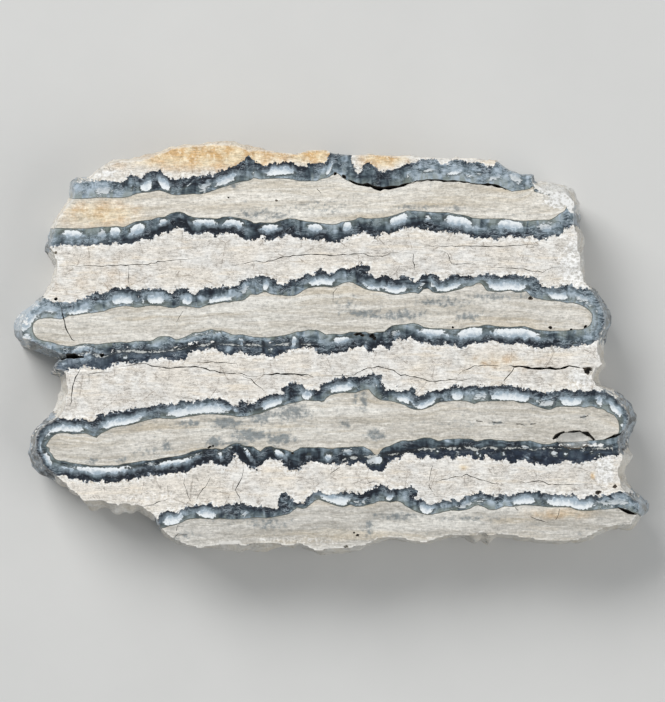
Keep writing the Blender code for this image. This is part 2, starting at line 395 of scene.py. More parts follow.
FIRST_INNER = traced("""
    -43.5 25.3, -41 25.4, -39 25.6, -37 25.5, -35 25.55, -34 25.7, -33 26.2, -31.8 26.4, -30.5 26.5,
    -29.6 26.7, -29 26.85, -28 26.5, -27 26.1, -26 25.95, -24.5 26.1, -23 26.2, -22 26.1, -20.5 26.5,
    -19 27.1, -17.5 27.6, -16 28.1, -15 28.3, -13.7 28.5, -13 29, -12 28.7, -10.5 28.8, -9 28.9, -7.5
    28.8, -6.5 28.7, -5.5 28.4, -4 28.4, -2.5 28.4, -1.5 28.8, -.5 29, .3 29.5, .8 29.8, 1.4 29.6, 1.9
    29, 2.6 28.6, 3.4 28.2, 4.2 27.8, 6 27.8, 7 27.3, 8.3 27.1, 10 27.3, 11.5 27.5, 13 27.9, 14 28.3, 15
    28.5, 17 28.6, 19 28.3, 21 28.4, 22.5 28.2, 24 28, 25.5 27.8, 27 27.7, 28.5 27.4, 29.5 27, 30.5
    26.6, 32 26.8, 33.5 27, 34.2 27.6
""")
FIRST_OUTER = traced("""
    -43.7 28.3, -42 28.4, -40.5 28.5, -39 28.5, -37.3 28.7, -36.3 28.6, -35.2 28.3, -34.8 28.4, -34.6
    29, -33.8 29.4, -32.8 29.3, -32.1 28.9, -31.8 29.2, -31.2 29.9, -30.5 30.1, -29.8 30.3, -28.8 30.1,
    -28 29.7, -27.3 29.2, -26.7 28.9, -26 28.6, -25.5 28.9, -24.5 29.3, -24 28.9, -23.3 29.3, -22.5
    29.2, -22 29, -21.5 29.6, -20.6 29.9, -20 29.4, -19.4 29.7, -18.3 30.3, -17.6 30.4, -17 30.9, -16.3
    31, -15.7 30.7, -15.2 31.8, -14.6 32.6, -14 32.75, -13.3 32.3, -12.5 32, -11.8 31.4, -11.1 30.9,
    -10.5 31.6, -9.6 31.9, -8.8 31.6, -8 31.8, -7 31.9, -6 31.5, -5.3 31.2, -4.4 31.3, -3.4 31.6, -2.7
    31.3, -2 31.6, -1.2 31.5, -.8 32.3, -.2 33, .5 34.5, 3.2 34.5, 3.7 32.4, 3.8 31.6, 4.1 30.6, 4.5
    29.7, 5 30.3, 5.4 31, 6 31.3, 7 31.4, 7.5 30.9, 7.8 30.1, 8.5 30, 9 30.2, 9.6 30.5, 10.3 30.2, 10.8
    30.6, 11.5 30.9, 12.3 31.3, 13.2 31.6, 14 31.6, 14.8 32, 16 32.2, 17.5 32.1, 18.5 31.7, 19.3 31.4,
    20.2 31.8, 21.5 32, 23 32, 24 31.7, 25 31.4, 26 31.2, 27 31, 28.5 32, 29.5 31.8, 30.3 31.5, 31.5 31,
    32.5 30.5, 34 30.2, 35.2 29, 34.1 28.2
""")
SECOND_INNER = traced("""
    -46.6 20.4, -45 20.35, -43 20.3, -41 20.3, -39.5 20.5, -38 20.6, -36 20.7, -34.8 20.5, -34.2 20.9,
    -33 21.5, -31.5 21.7, -30.3 21.8, -29.3 22.2, -28 22.3, -27.3 22.8, -26.3 23.1, -25.5 23.2, -24.8
    23, -24 22.5, -23 22.2, -21 22.1, -19 22, -18.3 22.3, -17 22.35, -15.5 22.1, -14.2 21.8, -13.3 21.5,
    -12.9 21.1, -12 21.4, -11 21.3, -9.5 21.3, -8.5 21.7, -7.3 22, -6.3 22, -5 21.7, -4 21.5, -2.5
    21.35, -1 21.1, .3 21, 1 21.1, 2 21.5, 3 21.6, 4 21.8, 4.8 22.3, 5.5 22.1, 6.5 22, 8 22.1, 9 22.2,
    10 22.4, 11 22.7, 12 23.1, 12.8 23.4, 14 23.4, 16 23.2, 17.5 23.1, 19.5 23.1, 21 22.8, 22.5 22.6, 24
    22.1, 25.5 22, 27 22, 29 22, 30 21.9, 31 21.7, 33 21.6, 35 21.8, 37 21.8, 37.8 22.3, 38.5 22.9, 39.2
    23.2, 39.8 24, 39.6 24.6, 38.6 25.1, 37.5 25.4, 36.9 25.9, 36 26.2, 35 26.4, 34.2 26.6
""")
SECOND_OUTER = traced("""
    -46.9 16.9, -46 17.1, -45 17.3, -43 17.3, -41.5 17.3, -40 17.3, -38.8 17.5, -38 17.8, -37.6 17.5,
    -37 17.6, -36.3 17.9, -35.9 17.8, -35.7 17.5, -34.5 17.5, -33.6 17.7, -32.8 18.2, -31.5 18.5, -30.3
    18.3, -29.8 18.8, -28.6 19.3, -27.6 19.5, -27 20, -26.5 20.1, -26 20.3, -25.7 20.8, -25.1 20.2,
    -24.6 19.6, -24 19.3, -23.2 19.1, -22 19.4, -21 19.5, -20 19.2, -19.4 18.9, -18.6 19.1, -17.7 19.4,
    -16.5 19.4, -15.6 19.1, -14.8 18.5, -14 18.2, -13.2 18.1, -12.4 18.2, -11.8 18.8, -11.3 18.8, -11
    18.3, -10.4 18.2, -9.7 18.5, -8.8 18.9, -7.7 19.1, -6.8 19.3, -6.3 18.8, -5.3 18.6, -4.5 18.5, -3.8
    18.3, -3 18.2, -2.2 18.1, -1.4 18.4, -.8 18.1, -.2 17.9, .5 17.8, 1.5 18.1, 2.3 18.6, 3 18.8, 4 19,
    4.9 19.2, 5.3 19.9, 5.8 19.6, 6.4 19.2, 7 19.2, 7.3 18.6, 7.8 18.9, 8.5 19.4, 9.5 19.3, 10.3 19.5,
    11 19.7, 12 20.1, 13 20.4, 14 20.5, 14.8 20.3, 15.5 20.1, 16.5 20.2, 17.1 19.8, 18 19.6, 19 19.5,
    19.8 19.9, 20.5 19.7, 21.3 19.6, 22 19.8, 22.6 19.3, 23.5 18.9, 24.5 18.7, 25.5 18.5, 27 18.5, 27.8
    18.3, 28.3 18.8, 29.5 18.8, 31 18.7, 32.5 18.7, 33.7 18.9, 34.2 18.5, 35.3 18.3, 36 18.2, 36.8 18.6,
    37.7 19, 38.5 18.9, 39.2 19.4, 39.4 20, 40.2 20.2, 41 20.6
""")
FIRST_PAIR_RIGHT = traced("""
    34.1 28.2, 34.6 27, 36.2 26.5, 37.8 26, 39.2 25.3, 40.2 24.6, 41.5 24, 43 23, 43 20.8, 41 20.6
""")
THIRD_INNER = traced("""
    -49.9 3.35, -49.8 4.1, -49.3 4.5, -48.65 4.75, -47.75 4.9, -46.85 4.9, -45.95 4.75, -45.1 4.7,
    -44.35 5.05, -44 5.3, -43.3 5.3, -42.6 5.4, -41.5 5.6, -40.6 5.7, -39.7 5.8, -38.8 5.9, -37.9 6.05,
    -37 6.5, -36.1 6.7, -35.25 6.9, -34.35 6.95, -33.5 6.85, -32.9 6.7, -31.7 6.7, -31.3 6.95, -29.9 7,
    -28.65 6.95, -27.6 6.75, -26.9 6.6, -26.1 6.6, -25.4 6.95, -24.1 6.85, -23.1 6.75, -22.5 6.6, -21.8
    6.65, -21.1 7, -19.9 7.2, -19 7.4, -17.7 7.65, -17 7.55, -15.9 7.8, -14.9 7.8, -14.1 8.3, -13.4 9,
    -12.4 8.8, -11.8 9.15, -11.1 9.4, -10.2 9, -9.1 8.8, -8.25 8.8, -7.2 8.6, -6.1 8.7, -5.2 9.15, -4.5
    9.7, -3.6 10.05, -2.5 10.2, -1.1 10.3, .1 10.1, 1 10.3, 1.7 10.7, 2.6 11, 3.5 11, 4.4 10.5, 5.25
    10.05, 6.1 9.7, 7 9.5, 8.3 9.4, 9.2 9.2, 10.1 8.9, 11.1 8.85, 12.2 9, 13.3 9.2, 14 9.25, 14.7 9,
    15.25 9.5, 15.6 9.9, 16.4 9.9, 17 9.3, 17.9 9.1, 19 9.2, 20.1 9.4, 21.1 9.65, 22 9.9, 22.6 10.3,
    23.7 10.3, 24.5 10.85, 25.25 10.8, 25.8 10.05, 26.1 9.5, 27.1 9.4, 28.2 9.3, 30.2 9.6, 30.9 9.25, 32
    9.25, 32.7 9.5, 33.4 8.7, 34.1 8.3, 35 8.1, 36.1 7.9, 37.5 7.8, 38.6 7.7, 39.6 7.45, 40.5 7.5, 41.6
    7.2, 42.5 6.75, 43.2 6.2, 43.7 5.6, 43.7 5, 43.6 4.25, 43.3 3.7, 42.6 3.3
""")
THIRD_OUTER = traced("""
    -48.5 8.3, -47.75 8.2, -46.85 7.9, -45.4 7.8, -44 7.65, -42.9 7.8, -41.85 8.2, -41 8.3, -40.4 9,
    -39.7 9.15, -38.8 9.2, -37.9 9.15, -37.2 9.6, -36.5 9.9, -35.6 10.05, -34.7 10.1, -33.8 10, -32.9
    9.8, -32.3 9.4, -32.1 8.7, -31.9 9.7, -30.8 10.05, -29.7 9.9, -28.6 9.9, -27.7 9.7, -27.2 9.2, -26.7
    9.1, -26.1 9.3, -25.7 9.95, -24.7 10.15, -23.6 9.9, -23.1 9.15, -22.6 9, -22.4 9.6, -21.3 9.8, -20.4
    10.05, -19.9 10.3, -19 10.05, -18.1 10.5, -17.4 10.3, -16.3 10.5, -15.6 10.7, -15.3 11.3, -14.5
    11.6, -13.4 11.65, -12.7 11.85, -12.2 12.1, -11.3 11.95, -10.4 11.95, -9.7 11.65, -9.1 10.95, -8.4
    10.8, -7.5 10.7, -6.8 11.3, -5.9 11.65, -4.9 11.95, -4.1 12.5, -3.25 12.3, -2.5 12.9, -2 13.2, -1.3
    12.9, -.5 12.8, .1 12.7, 1 13.4, 2 13.6, 3.1 13.4, 4 13.6, 4.7 14.05, 5.6 14.2, 6.3 13.9, 6.6 13.25,
    6.1 12.6, 6.7 12.3, 7.6 12.1, 8.6 12.2, 9.7 11.9, 10.6 11.5, 11.3 11.5, 12 12, 12.9 11.85, 13.8
    11.65, 14.2 11, 14.7 11.65, 15.6 12.3, 16.7 12.55, 17.75 12.1, 18.2 11.65, 18.5 11.3, 19.4 11.65,
    20.25 12.3, 21.1 12.5, 22 12.1, 22.9 11.85, 24 11.9, 25.1 12.5, 26.1 12.4, 27.9 12.2, 29.6 12.3,
    32.1 12.2, 33.4 12.1, 34.5 11.75, 35.2 11, 35.7 10.5, 36.6 10.3, 38 10.15, 39.1 10.5, 40.2 10.6,
    41.1 10.15, 42 9.95, 42.9 9.9, 43.5 9.6
""")
FOURTH_INNER = traced("""
    -49.9 3.35, -49.85 2.65, -49.5 1.95, -49 1.45, -48.1 1.1, -47 .95, -46.1 .65, -45.4 .4, -44.35 .25,
    -43.3 .15, -42.4 .4, -41.5 .6, -40.4 .65, -39.35 .5, -38.3 .6, -37.6 .75, -36.5 .75, -35.25 .95, -34
    .75, -33.1 1.05, -31.7 1.1, -29.9 1.1, -29 1.75, -28.1 1.9, -26.9 1.85, -26.1 1.3, -25 1.5, -24.1
    1.9, -23.1 2.5, -22 2.55, -21.1 2.8, -20 3.1, -19.1 2.8, -18.4 2.85, -17.5 2.55, -16.8 2.2, -15.9
    2.1, -14.9 2.2, -14 2, -12.9 1.75, -11.8 1.7, -10.2 1.7, -9 1.9, -7.9 2, -6.8 2.3, -5.9 2.65, -4.9
    2.7, -3.8 2.95, -2.5 2.95, -1.6 2.65, -.9 2.1, .1 2.3, 1.7 2.2, 2.6 2.4, 3.3 2.65, 4.4 2.55, 5.8
    2.65, 6.5 2.3, 7.6 2.55, 9 2.7, 9.5 3.2, 10.25 3.7, 11.5 3.85, 12.6 3.9, 13.6 4.15, 14.7 3.9, 15.4
    3.45, 16.9 3.2, 18.6 3.2, 20.1 3.05, 21.9 3.15, 23.1 3.45, 24.9 3.55, 25.8 3.85, 27 3.7, 28.2 3.5,
    30.4 3.45, 32.1 3.6, 33.2 3.35, 34.3 3, 35.7 2.85, 37.5 2.75, 39.3 2.8, 40.5 3, 41.8 3, 42.6 3.3
""")
FOURTH_OUTER = traced("""
    -45.4 -1.35, -44 -1.1, -42.9 -1.2, -41.7 -1.1, -41.1 -.65, -40.1 -.65, -39.2 -1.2, -37.6 -1.1, -36.5
    -.75, -35.6 -.3, -34.7 -.2, -33.5 -.3, -31.7 -.4, -29.9 -.5, -28.1 -.4, -27 -.3, -25.2 .2, -23.4 .5,
    -21.6 .75, -20.2 .85, -19 .7, -17.7 .85, -16.3 .6, -14.5 .7, -12.7 .4, -10.9 .4, -9.1 .4, -7.4 .7,
    -5.6 .7, -3.8 .5, -3 .5, -2.7 -.6, -2 -1.2, -.75 -1.3, .1 -1, 1.1 -1, 2.2 -.75, 3.1 -.2, 4.4 -.1,
    5.4 -.1, 6 -.65, 6.9 -.8, 7.4 -.3, 8.3 .3, 9.2 .25, 9.9 -.1, 10.4 .7, 11.1 1.1, 11.5 1.6, 12.2 1.3,
    13.3 1.5, 13.6 1.65, 14.4 .85, 15.1 .5, 16.1 .85, 17.2 .4, 18.1 .25, 19 .7, 19.7 0, 21 .4, 21.9 -.1,
    22.9 .6, 24 .7, 24.7 .25, 25.6 .85, 26.7 1.1, 27.7 .75, 28.9 .5, 30.2 .25, 31.1 .6, 32.1 .25, 33.6
    .3, 34.8 -.2, 35.9 0, 37.5 .3, 38.6 -.2, 40.2 -.1, 41.1 .05, 42.1 .5, 43 .4, 43.75 .6, 44.5 .85
""")
SECOND_PAIR_LEFT = traced("""
    -48.6 8.4, -49.7 7.2, -51.2 6.2, -52.2 4.4, -52.4 2.5, -51.8 1.2, -50.6 .8, -48.8 0, -47 -.8, -46.2
    -1.3
""")
SECOND_PAIR_RIGHT = traced("""
    43.7 9.9, 45.2 8.1, 46.2 5.8, 46.3 4.2, 45.5 2.3, 44.9 1
""")
STRIP_TOP = traced("""
    -45.6 -2.35, -44.7 -2.2, -43.7 -1.65, -42.4 -2, -41.5 -1.9, -41.1 -1.3, -40.4 -1, -39.7 -1.6, -38.8
    -2, -37.6 -2.1, -36.7 -1.8, -36.1 -1.3, -35.1 -1.1, -32.6 -1, -30.8 -1.2, -29 -1.3, -27.9 -1.3,
    -27.6 -1.6, -27.3 -1.1, -26.9 -.75, -26 -.85, -24 -.5, -22 -.1, -19.9 .15, -17.7 .5, -15.6 -.1, -14
    .3, -12 .15, -10 .15, -7.5 .4, -5.5 .4, -3 .3
""")
STRIP_BOTTOM = traced("""
    -46.3 -3.7, -45.15 -4.15, -44.5 -4.05, -43.3 -3.8, -42.2 -3.7, -41.5 -3.15, -40.8 -3.15, -39.9 -3.7,
    -38.8 -3.8, -37.9 -3.8, -37 -3.5, -36.1 -3.15, -35.1 -2.9, -34 -2.8, -32.6 -2.6, -31.1 -2.55, -30.1
    -2.25, -29 -2.1, -27.9 -1.9, -27.2 -1.8, -26.1 -2.2, -25.2 -2.35, -24.5 -2.2, -24 -1.55, -23.1 -.85,
    -22 -.75, -20.75 -.3, -20 -.2, -19.1 -.3, -18.4 -.9, -17.5 -1.4, -16.5 -1.5, -15.75 -.9, -15.4 -.4,
    -14.7 -1, -13.8 -1.65, -12.7 -1.3, -11.5 -1.3, -10.4 -1.65, -9.5 -1.65, -8.4 -1.2, -7.4 -.85, -6.1
    -.5, -4.7 -.2, -3.4 0
""")
FIFTH_OUTER = traced("""
    -45.9 -12.1, -45.1 -12.1, -44 -12.05, -42.9 -12.05, -41.85 -12.15, -40.8 -12.2, -40.1 -12.5, -39.7
    -13, -39.3 -12.5, -38.8 -11.55, -37.9 -11.4, -37 -11, -35.8 -10.9, -34.4 -10.75, -33.5 -10.5, -32.6
    -10.2, -31.5 -10.3, -30.6 -10.4, -29.7 -9.95, -29 -9.7, -27.2 -9.7, -26.1 -9.6, -24.9 -9.3, -23.4
    -9.15, -21.8 -9.15, -20.75 -8.8, -19.5 -8.7, -18.25 -8.75, -17.2 -9.2, -16.1 -9.7, -15.4 -10.2, -15
    -9.2, -14.3 -9.15, -13.6 -9.85, -12.7 -9.3, -11.8 -8.95, -10.9 -8.35, -9.9 -8.05, -8.8 -7.9, -7.9
    -8.05, -8 -7, -7.5 -6.3, -6.6 -6.1, -5.75 -6.2, -4.9 -6.2, -4.5 -6.9, -3.6 -7.2, -2.5 -7.2, -2
    -7.35, -1.5 -6.6, -.6 -5.9, .1 -5.6, 1.1 -5.2, 2.6 -5.05, 3.8 -5.2, 4.9 -4.85, 6 -4.85, 6.7 -4.5,
    7.6 -4.85, 8.3 -5.05, 8.5 -5.75, 8.9 -6.5, 9.2 -7, 10.1 -7.1, 11.3 -6.7, 11.1 -7.5, 12.2 -7.2, 13.3
    -7, 14.2 -7.2, 14 -8.05, 14.4 -8.6, 15.4 -8.4, 16 -7.8, 16.7 -7.3, 17.9 -7.2, 19.2 -7.1, 20.25 -6.7,
    21.5 -6.4, 22.2 -6.8, 23.1 -6.55, 24.2 -6.5, 24.9 -6.8, 25.9 -6.45, 27.1 -6.65, 28.6 -6.5, 30 -6.65,
    31.25 -6.8, 32.5 -7.1, 33.9 -7.3, 34.8 -7.5, 35.7 -7.8, 36.6 -7.7, 37.5 -7.35, 38.6 -7.2, 39.6 -7.1,
    40.4 -7.7, 41.4 -7.45, 42.9 -7.35, 43.9 -7.2, 45.2 -7.5
""")
FIFTH_INNER = traced("""
    -47.4 -16.7, -46.95 -16, -46.5 -15.3, -45.8 -14.75, -44.9 -14.55, -44 -14.6, -42.9 -14.8, -41.85
    -14.7, -40.8 -14.65, -40.05 -14.95, -39 -15.4, -38.3 -14.65, -37.75 -14.4, -37.05 -14.1, -36.5
    -13.75, -35.8 -13.6, -34.55 -13.4, -33.45 -13.25, -32.4 -12.95, -31.3 -12.6, -30.25 -12.35, -29.35
    -12.15, -28.65 -12.05, -27.9 -12.15, -26.1 -12.2, -25 -12, -23.95 -11.8, -22.9 -11.75, -21.6 -11.45,
    -20 -11.4, -19 -11.45, -17.5 -11.55, -16.3 -11.7, -15.4 -11.9, -14 -11.8, -12.8 -11.5, -11.8 -11.3,
    -10.6 -10.8, -9.3 -10.3, -8.1 -10.05, -7 -9.6, -5.9 -9.5, -4.5 -9.05, -3.25 -9.15, -2 -9.2, -1.3
    -9.4, -.5 -8.4, .4 -8.05, 1.7 -7.8, 2.9 -7.8, 4.2 -7.8, 5.25 -7.35, 6.3 -7.2, 6.7 -7.8, 7.2 -8.4,
    8.3 -9.05, 9.5 -9.15, 10.4 -9.3, 11.5 -9.6, 12.4 -9.95, 13.1 -10.4, 14.2 -10.65, 15.25 -10.65, 16.3
    -10.3, 17.2 -9.85, 17.9 -9.4, 19.2 -9.3, 20.4 -9.15, 21.9 -9.15, 22.9 -9.3, 23.8 -9.7, 24.9 -9.3,
    26.4 -9.2, 27.9 -9.2, 29.1 -9.2, 30.4 -9.15, 31.4 -9.5, 32.9 -9.5, 33.75 -9.85, 34.6 -10.2, 35.7
    -10.6, 36.6 -10.65, 37.5 -10.2, 38.6 -10.1, 39.8 -10.2, 41.1 -10.1, 42.3 -10.3, 43.4 -10.05, 44.3
    -10.4, 45.4 -10.6, 46.1 -11.1, 47.15 -11.55, 47.6 -12.15, 47.85 -12.8, 47.95 -13.5, 47.95 -14.2,
    47.75 -14.65, 47.3 -14.95, 46.6 -15.2, 46.05 -15.5, 45.35 -15.6, 44.3 -15.7, 43.4 -15.7, 40.5
    -15.95, 38 -15.95
""")
SIXTH_INNER = traced("""
    -47.4 -16.7, -46.7 -17.1, -46.95 -17.4, -46.3 -18.15, -45.9 -18.85, -45.25 -19.1, -44 -19.25, -43.1
    -19.5, -42.2 -19.65, -41.15 -19.75, -39.9 -19.95, -38.45 -20, -37.05 -19.95, -35.6 -19.95, -34.35
    -19.65, -33.1 -19.5, -31.85 -19.25, -30.8 -19.1, -29.7 -19.1, -28.65 -18.85, -27.4 -18.6, -26.5
    -18.5, -25.95 -18.4, -25.05 -18.3, -23.95 -17.95, -23.05 -17.55, -22 -17.3, -20.95 -17.1, -19.85
    -17.15, -19.15 -17.05, -18.6 -17.25, -17.9 -17.2, -17.35 -16.8, -16.65 -16.45, -15.95 -16.2, -15.2
    -16.2, -14.7 -16.55, -13.8 -16.7, -12.9 -16.8, -12.35 -17.25, -11.8 -17.6, -11.3 -17.15, -10.75
    -16.8, -10.05 -16.7, -9.15 -17, -8.05 -17.15, -7.2 -17.45, -6.45 -17.7, -5.75 -17.35, -5.05 -16.9,
    -3.95 -16.9, -3.05 -16.95, -2 -16.9, -.95 -17, .07 -17.15, .95 -17, 1.85 -16.9, 2.75 -16.9, 3.65
    -16.8, 4.55 -16.75, 5.45 -16.8, 6.15 -17.15, 6.7 -17.45, 7.1 -17.9, 7.4 -18.25, 7.95 -18.15, 8.2
    -17.5, 8.65 -17, 9.35 -16.8, 9.9 -16.6, 10.6 -16.25, 11.5 -15.85, 12.2 -15.7, 12.95 -15.8, 13.8
    -15.75, 14.7 -15.45, 15.6 -15.25, 16.5 -15.3, 17.2 -15.55, 17.95 -15.85, 18.65 -15.6, 19.7 -15.5,
    20.95 -15.45, 22.2 -15.45, 23.45 -15.5, 24.2 -15.9, 24.9 -15.75, 25.8 -15.55, 26.6 -15.5, 27.5
    -15.7, 28.4 -15.7, 29.3 -15.85, 30.35 -15.9, 31.25 -15.8, 32.3 -15.8, 33.2 -15.75, 34.1 -16.1, 35
    -16.3, 36.05 -16.4, 36.8 -16.25, 37.5 -16
""")
SIXTH_OUTER = traced("""
    -45.7 -21.7, -44.9 -21.7, -44.55 -21.6, -43.8 -22.05, -43.1 -22.2, -42.2 -22.35, -41.15 -22.5, -40.1
    -22.7, -38.8 -22.8, -37.75 -22.8, -36.85 -22.8, -35.8 -22.8, -34.9 -22.6, -34 -22.4, -32.95 -22.35,
    -32.05 -22.15, -31.3 -21.8, -30.6 -21.6, -29.9 -21.7, -29 -21.55, -28.3 -21.7, -27.4 -21.55, -26.7
    -21.3, -25.95 -21.1, -25.4 -21.15, -24.7 -21.2, -23.95 -21.15, -23.35 -20.9, -22.9 -20.55, -22.35
    -20.2, -21.65 -19.95, -20.95 -19.75, -20.2 -19.5, -19.85 -19.2, -19.4 -19.55, -19.05 -19.95, -18.45
    -20.3, -17.8 -20.6, -17.45 -20.2, -17.2 -19.85, -16.75 -19.4, -16.3 -19.1, -16.1 -18.6, -15.95
    -18.15, -15.55 -18.4, -15.2 -19.05, -14.7 -19.55, -13.9 -20.3, -13.05 -20.4, -12.35 -20.75, -12
    -20.2, -11.45 -19.85, -10.95 -19.4, -10.4 -19.05, -9.85 -19.15, -9.15 -19.2, -8.25 -19.15, -7.9
    -19.75, -7.35 -20.3, -6.8 -20.95, -6.3 -20.8, -5.5 -20.8, -5.15 -20.3, -4.6 -19.95, -4.25 -19.5,
    -3.8 -19.2, -3.05 -19.4, -2.35 -19.5, -1.65 -19.75, -.75 -19.9, .07 -19.95, .6 -19.75, 1.3 -19.55,
    2.05 -19.5, 2.55 -19.65, 3.3 -19.75, 4.2 -19.4, 4.9 -19.3, 5.35 -19.5, 5.8 -19.95, 6.05 -20.45, 6.7
    -20.8, 7.4 -21.1, 8.1 -21.2, 8.75 -21.2, 9 -20.65, 9.25 -20.1, 9.55 -19.55, 9.7 -19.05, 10.4 -18.95,
    11.3 -18.85, 12.05 -18.5, 12.55 -18.15, 13.1 -18.05, 13.65 -18.3, 14.35 -18.5, 14.9 -18.9, 15.45
    -18.7, 15.9 -18.15, 16.3 -18.25, 16.85 -18.7, 17.4 -18.85, 17.95 -19.05, 18.45 -18.85, 19.2 -18.4,
    19.45 -18.05, 19.9 -18.7, 20.25 -19.05, 20.95 -18.75, 21.7 -18.4, 22.55 -18.05, 23 -18.15, 23.45
    -18.85, 24 -18.9, 24.9 -19.4, 25.35 -18.85, 25.7 -18.25, 26.25 -18.7, 26.95 -18.95, 27.85 -19.05,
    28.75 -19.05, 29.3 -19.4, 30 -19.55, 30.9 -19.4, 31.6 -19.3, 32.3 -19.05, 32.85 -19.4, 33.55 -19.75,
    34.45 -19.85, 35.2 -20.05, 35.7 -20.15, 36.6 -19.95, 37.5 -19.65, 38.2 -19.3, 38.95 -19.05, 39.65
    -19.3, 40.35 -19.5, 41.05 -19.65, 41.8 -19.5, 42.7 -19.4, 43.4 -19.1, 44.45 -18.95, 45.35 -18.75,
    46.45 -18.6, 47.3 -18.4, 48 -18.15
""")
THIRD_PAIR_RIGHT = traced("""
    47.4 -8.2, 49 -9.9, 50 -11.5, 50.1 -12.4, 49.3 -13.9, 48.3 -15.1, 48.1 -16.5, 48.3 -17.9, 48 -18.15
""")
THIRD_PAIR_LEFT = traced("""
    -45.9 -12.1, -47.5 -12.8, -48.7 -13.9, -49.3 -15, -49.4 -16.6, -49.3 -17.9, -48.6 -19.1, -48 -20.4,
    -46.7 -21.3, -45.5 -21.9
""")
SEVENTH_INNER = traced("""
    -28.8 -30.6, -27.55 -30.45, -27.05 -30.2, -26.5 -30.1, -25.95 -30, -25.4 -29.85, -24.7 -29.55,
    -24.05 -29.2, -23.4 -28.95, -21.65 -28.85, -20.75 -28.95, -19.5 -29.05, -18.4 -28.85, -17 -29,
    -15.95 -29.05, -14.5 -28.95, -13.4 -28.85, -12.35 -28.7, -10.95 -28.85, -9.5 -28.7, -8.25 -28.4, -7
    -28.15, -5.55 -27.05, -4.5 -27.35, -3.8 -26.9, -3.05 -26.2, -2.2 -25.65, -1.3 -26, -.2 -26.35, .95
    -26.8, 2.05 -27, 2.65 -26.8, 3.3 -26.55, 4 -26.9, 4.9 -26.9, 6.15 -26.6, 7.2 -26.35, 7.95 -26, 9
    -26, 9.9 -26.2, 10.8 -26, 11.5 -26.1, 12.2 -26.7, 13.1 -27.25, 14 -27.7, 14.9 -28.05, 15.95 -28.3,
    17.05 -28.15, 17.95 -27.95, 19 -27.7, 20.05 -27.5, 21.15 -27.6, 22.05 -27.5, 23.1 -27.25, 23.75
    -26.8, 24.35 -26.65, 25.25 -26.9, 26.1 -27.4, 27.3 -27.45, 28.2 -27.05, 28.85 -26.8, 29.45 -26.9,
    30.35 -26.9, 31.25 -26.7, 32.5 -26.65, 33.75 -26.75, 34.45 -26.8, 35.35 -26.9, 36.45 -27, 37.85 -27,
    39.1 -26.95, 40 -27.15, 40.7 -27.5, 41.95 -27.6, 43.05 -27.6, 44.1 -27.4, 45.2 -27.4, 46.05 -27.3,
    46.95 -27.2, 47.85 -27.15, 48.4 -27.35, 49.3 -27.8, 50.7 -28.05
""")
SEVENTH_OUTER = traced("""
    -28.8 -28.4, -28.3 -28.2, -27.75 -27.85, -27.05 -27.6, -26.1 -27.8, -25.65 -27.9, -25.4 -27.5,
    -24.85 -27.25, -24.15 -27.15, -23.7 -26.8, -23.25 -27, -22.7 -26.8, -22.2 -26.55, -21.45 -26.7,
    -20.75 -26.55, -19.95 -26.55, -19.3 -27, -18.45 -27.05, -17.9 -26.7, -17.2 -26.55, -16.3 -26.35,
    -15.55 -26.3, -14.85 -26.2, -14.15 -26.35, -13.45 -26.6, -12.9 -26.8, -12.2 -27, -11.3 -26.9, -10.6
    -27, -9.85 -27.15, -9.15 -27.25, -8.8 -26.9, -8.35 -26.35, -8.6 -25.8, -8.6 -25.2, -8.25 -24.75,
    -7.6 -24.5, -7.35 -24.95, -6.65 -25.3, -6.1 -25.3, -6.3 -25.8, -6 -26.2, -5.4 -26.2, -4.85 -26.2,
    -4.4 -26.35, -3.95 -25.65, -3.45 -24.95, -2.9 -24.5, -2.35 -24.2, -1.65 -24.2, -.95 -24.5, -.05
    -24.65, .95 -24.5, 1.85 -24.4, 2.3 -24.1, 2.75 -24.55, 3.45 -24.4, 4.2 -24.5, 4.7 -24.85, 5.25
    -24.55, 5.95 -24.2, 6.7 -23.85, 7.05 -23.4, 7.75 -23.25, 8.65 -23.15, 9.35 -23.4, 9.7 -23.95, 10.15
    -23.75, 10.8 -23.85, 11.5 -23.7, 12.2 -23.85, 12.75 -23.4, 13.45 -23.3, 13.8 -23.7, 14.1 -24.2, 13.9
    -24.75, 13.75 -25.45, 14.2 -25.65, 14.7 -25.75, 15.45 -25.75, 15.95 -26.2, 16.7 -26.35, 17.4 -26.25,
    17.95 -26.2, 18.65 -26, 19.55 -25.9, 20.45 -25.65, 21.15 -25.75, 22.05 -25.3, 22.95 -25, 23.8
    -24.75, 24.55 -24.5, 25.45 -24.5, 25.9 -24.65, 26.6 -25.1, 27.3 -25.2, 28.05 -24.95, 28.65 -24.55,
    29.3 -24.95, 30.2 -24.85, 31.05 -24.5, 32.15 -24.2, 33.05 -24.15, 33.95 -24.05, 34.65 -24.2, 35
    -24.6, 36.05 -24.65, 37.15 -24.7, 38.2 -24.75, 39.3 -24.85, 40.2 -25, 40.9 -25.3, 41.6 -25.55, 42.15
    -25.2, 42.85 -25, 43.75 -24.95, 44.65 -24.95, 45.55 -24.85, 46.45 -24.65, 47.3 -24.55, 48.2 -24.5,
    49.4 -24.6, 50.5 -25.4, 51.5 -26, 51.7 -27, 51.2 -28.1
""")


def foot_on(points, start, end):
    """The place nearest to each point on one straight stretch of a line."""
    edge = end - start
    along = np.clip((points - start) @ edge / max(edge @ edge, 1e-9), 0.0, 1.0)
    return start + along[:, None] * edge


def distance_to(points, line, closed=False):
    """How far each point is from a line of the drawing."""
    nearest = np.full(len(points), np.inf)
    ends = np.roll(line, -1, axis=0) if closed else line[1:]
    for start, end in zip(line, ends):
        gap = ((points - foot_on(points, start, end)) ** 2).sum(axis=1)
        np.minimum(nearest, gap, out=nearest)
    return np.sqrt(nearest)


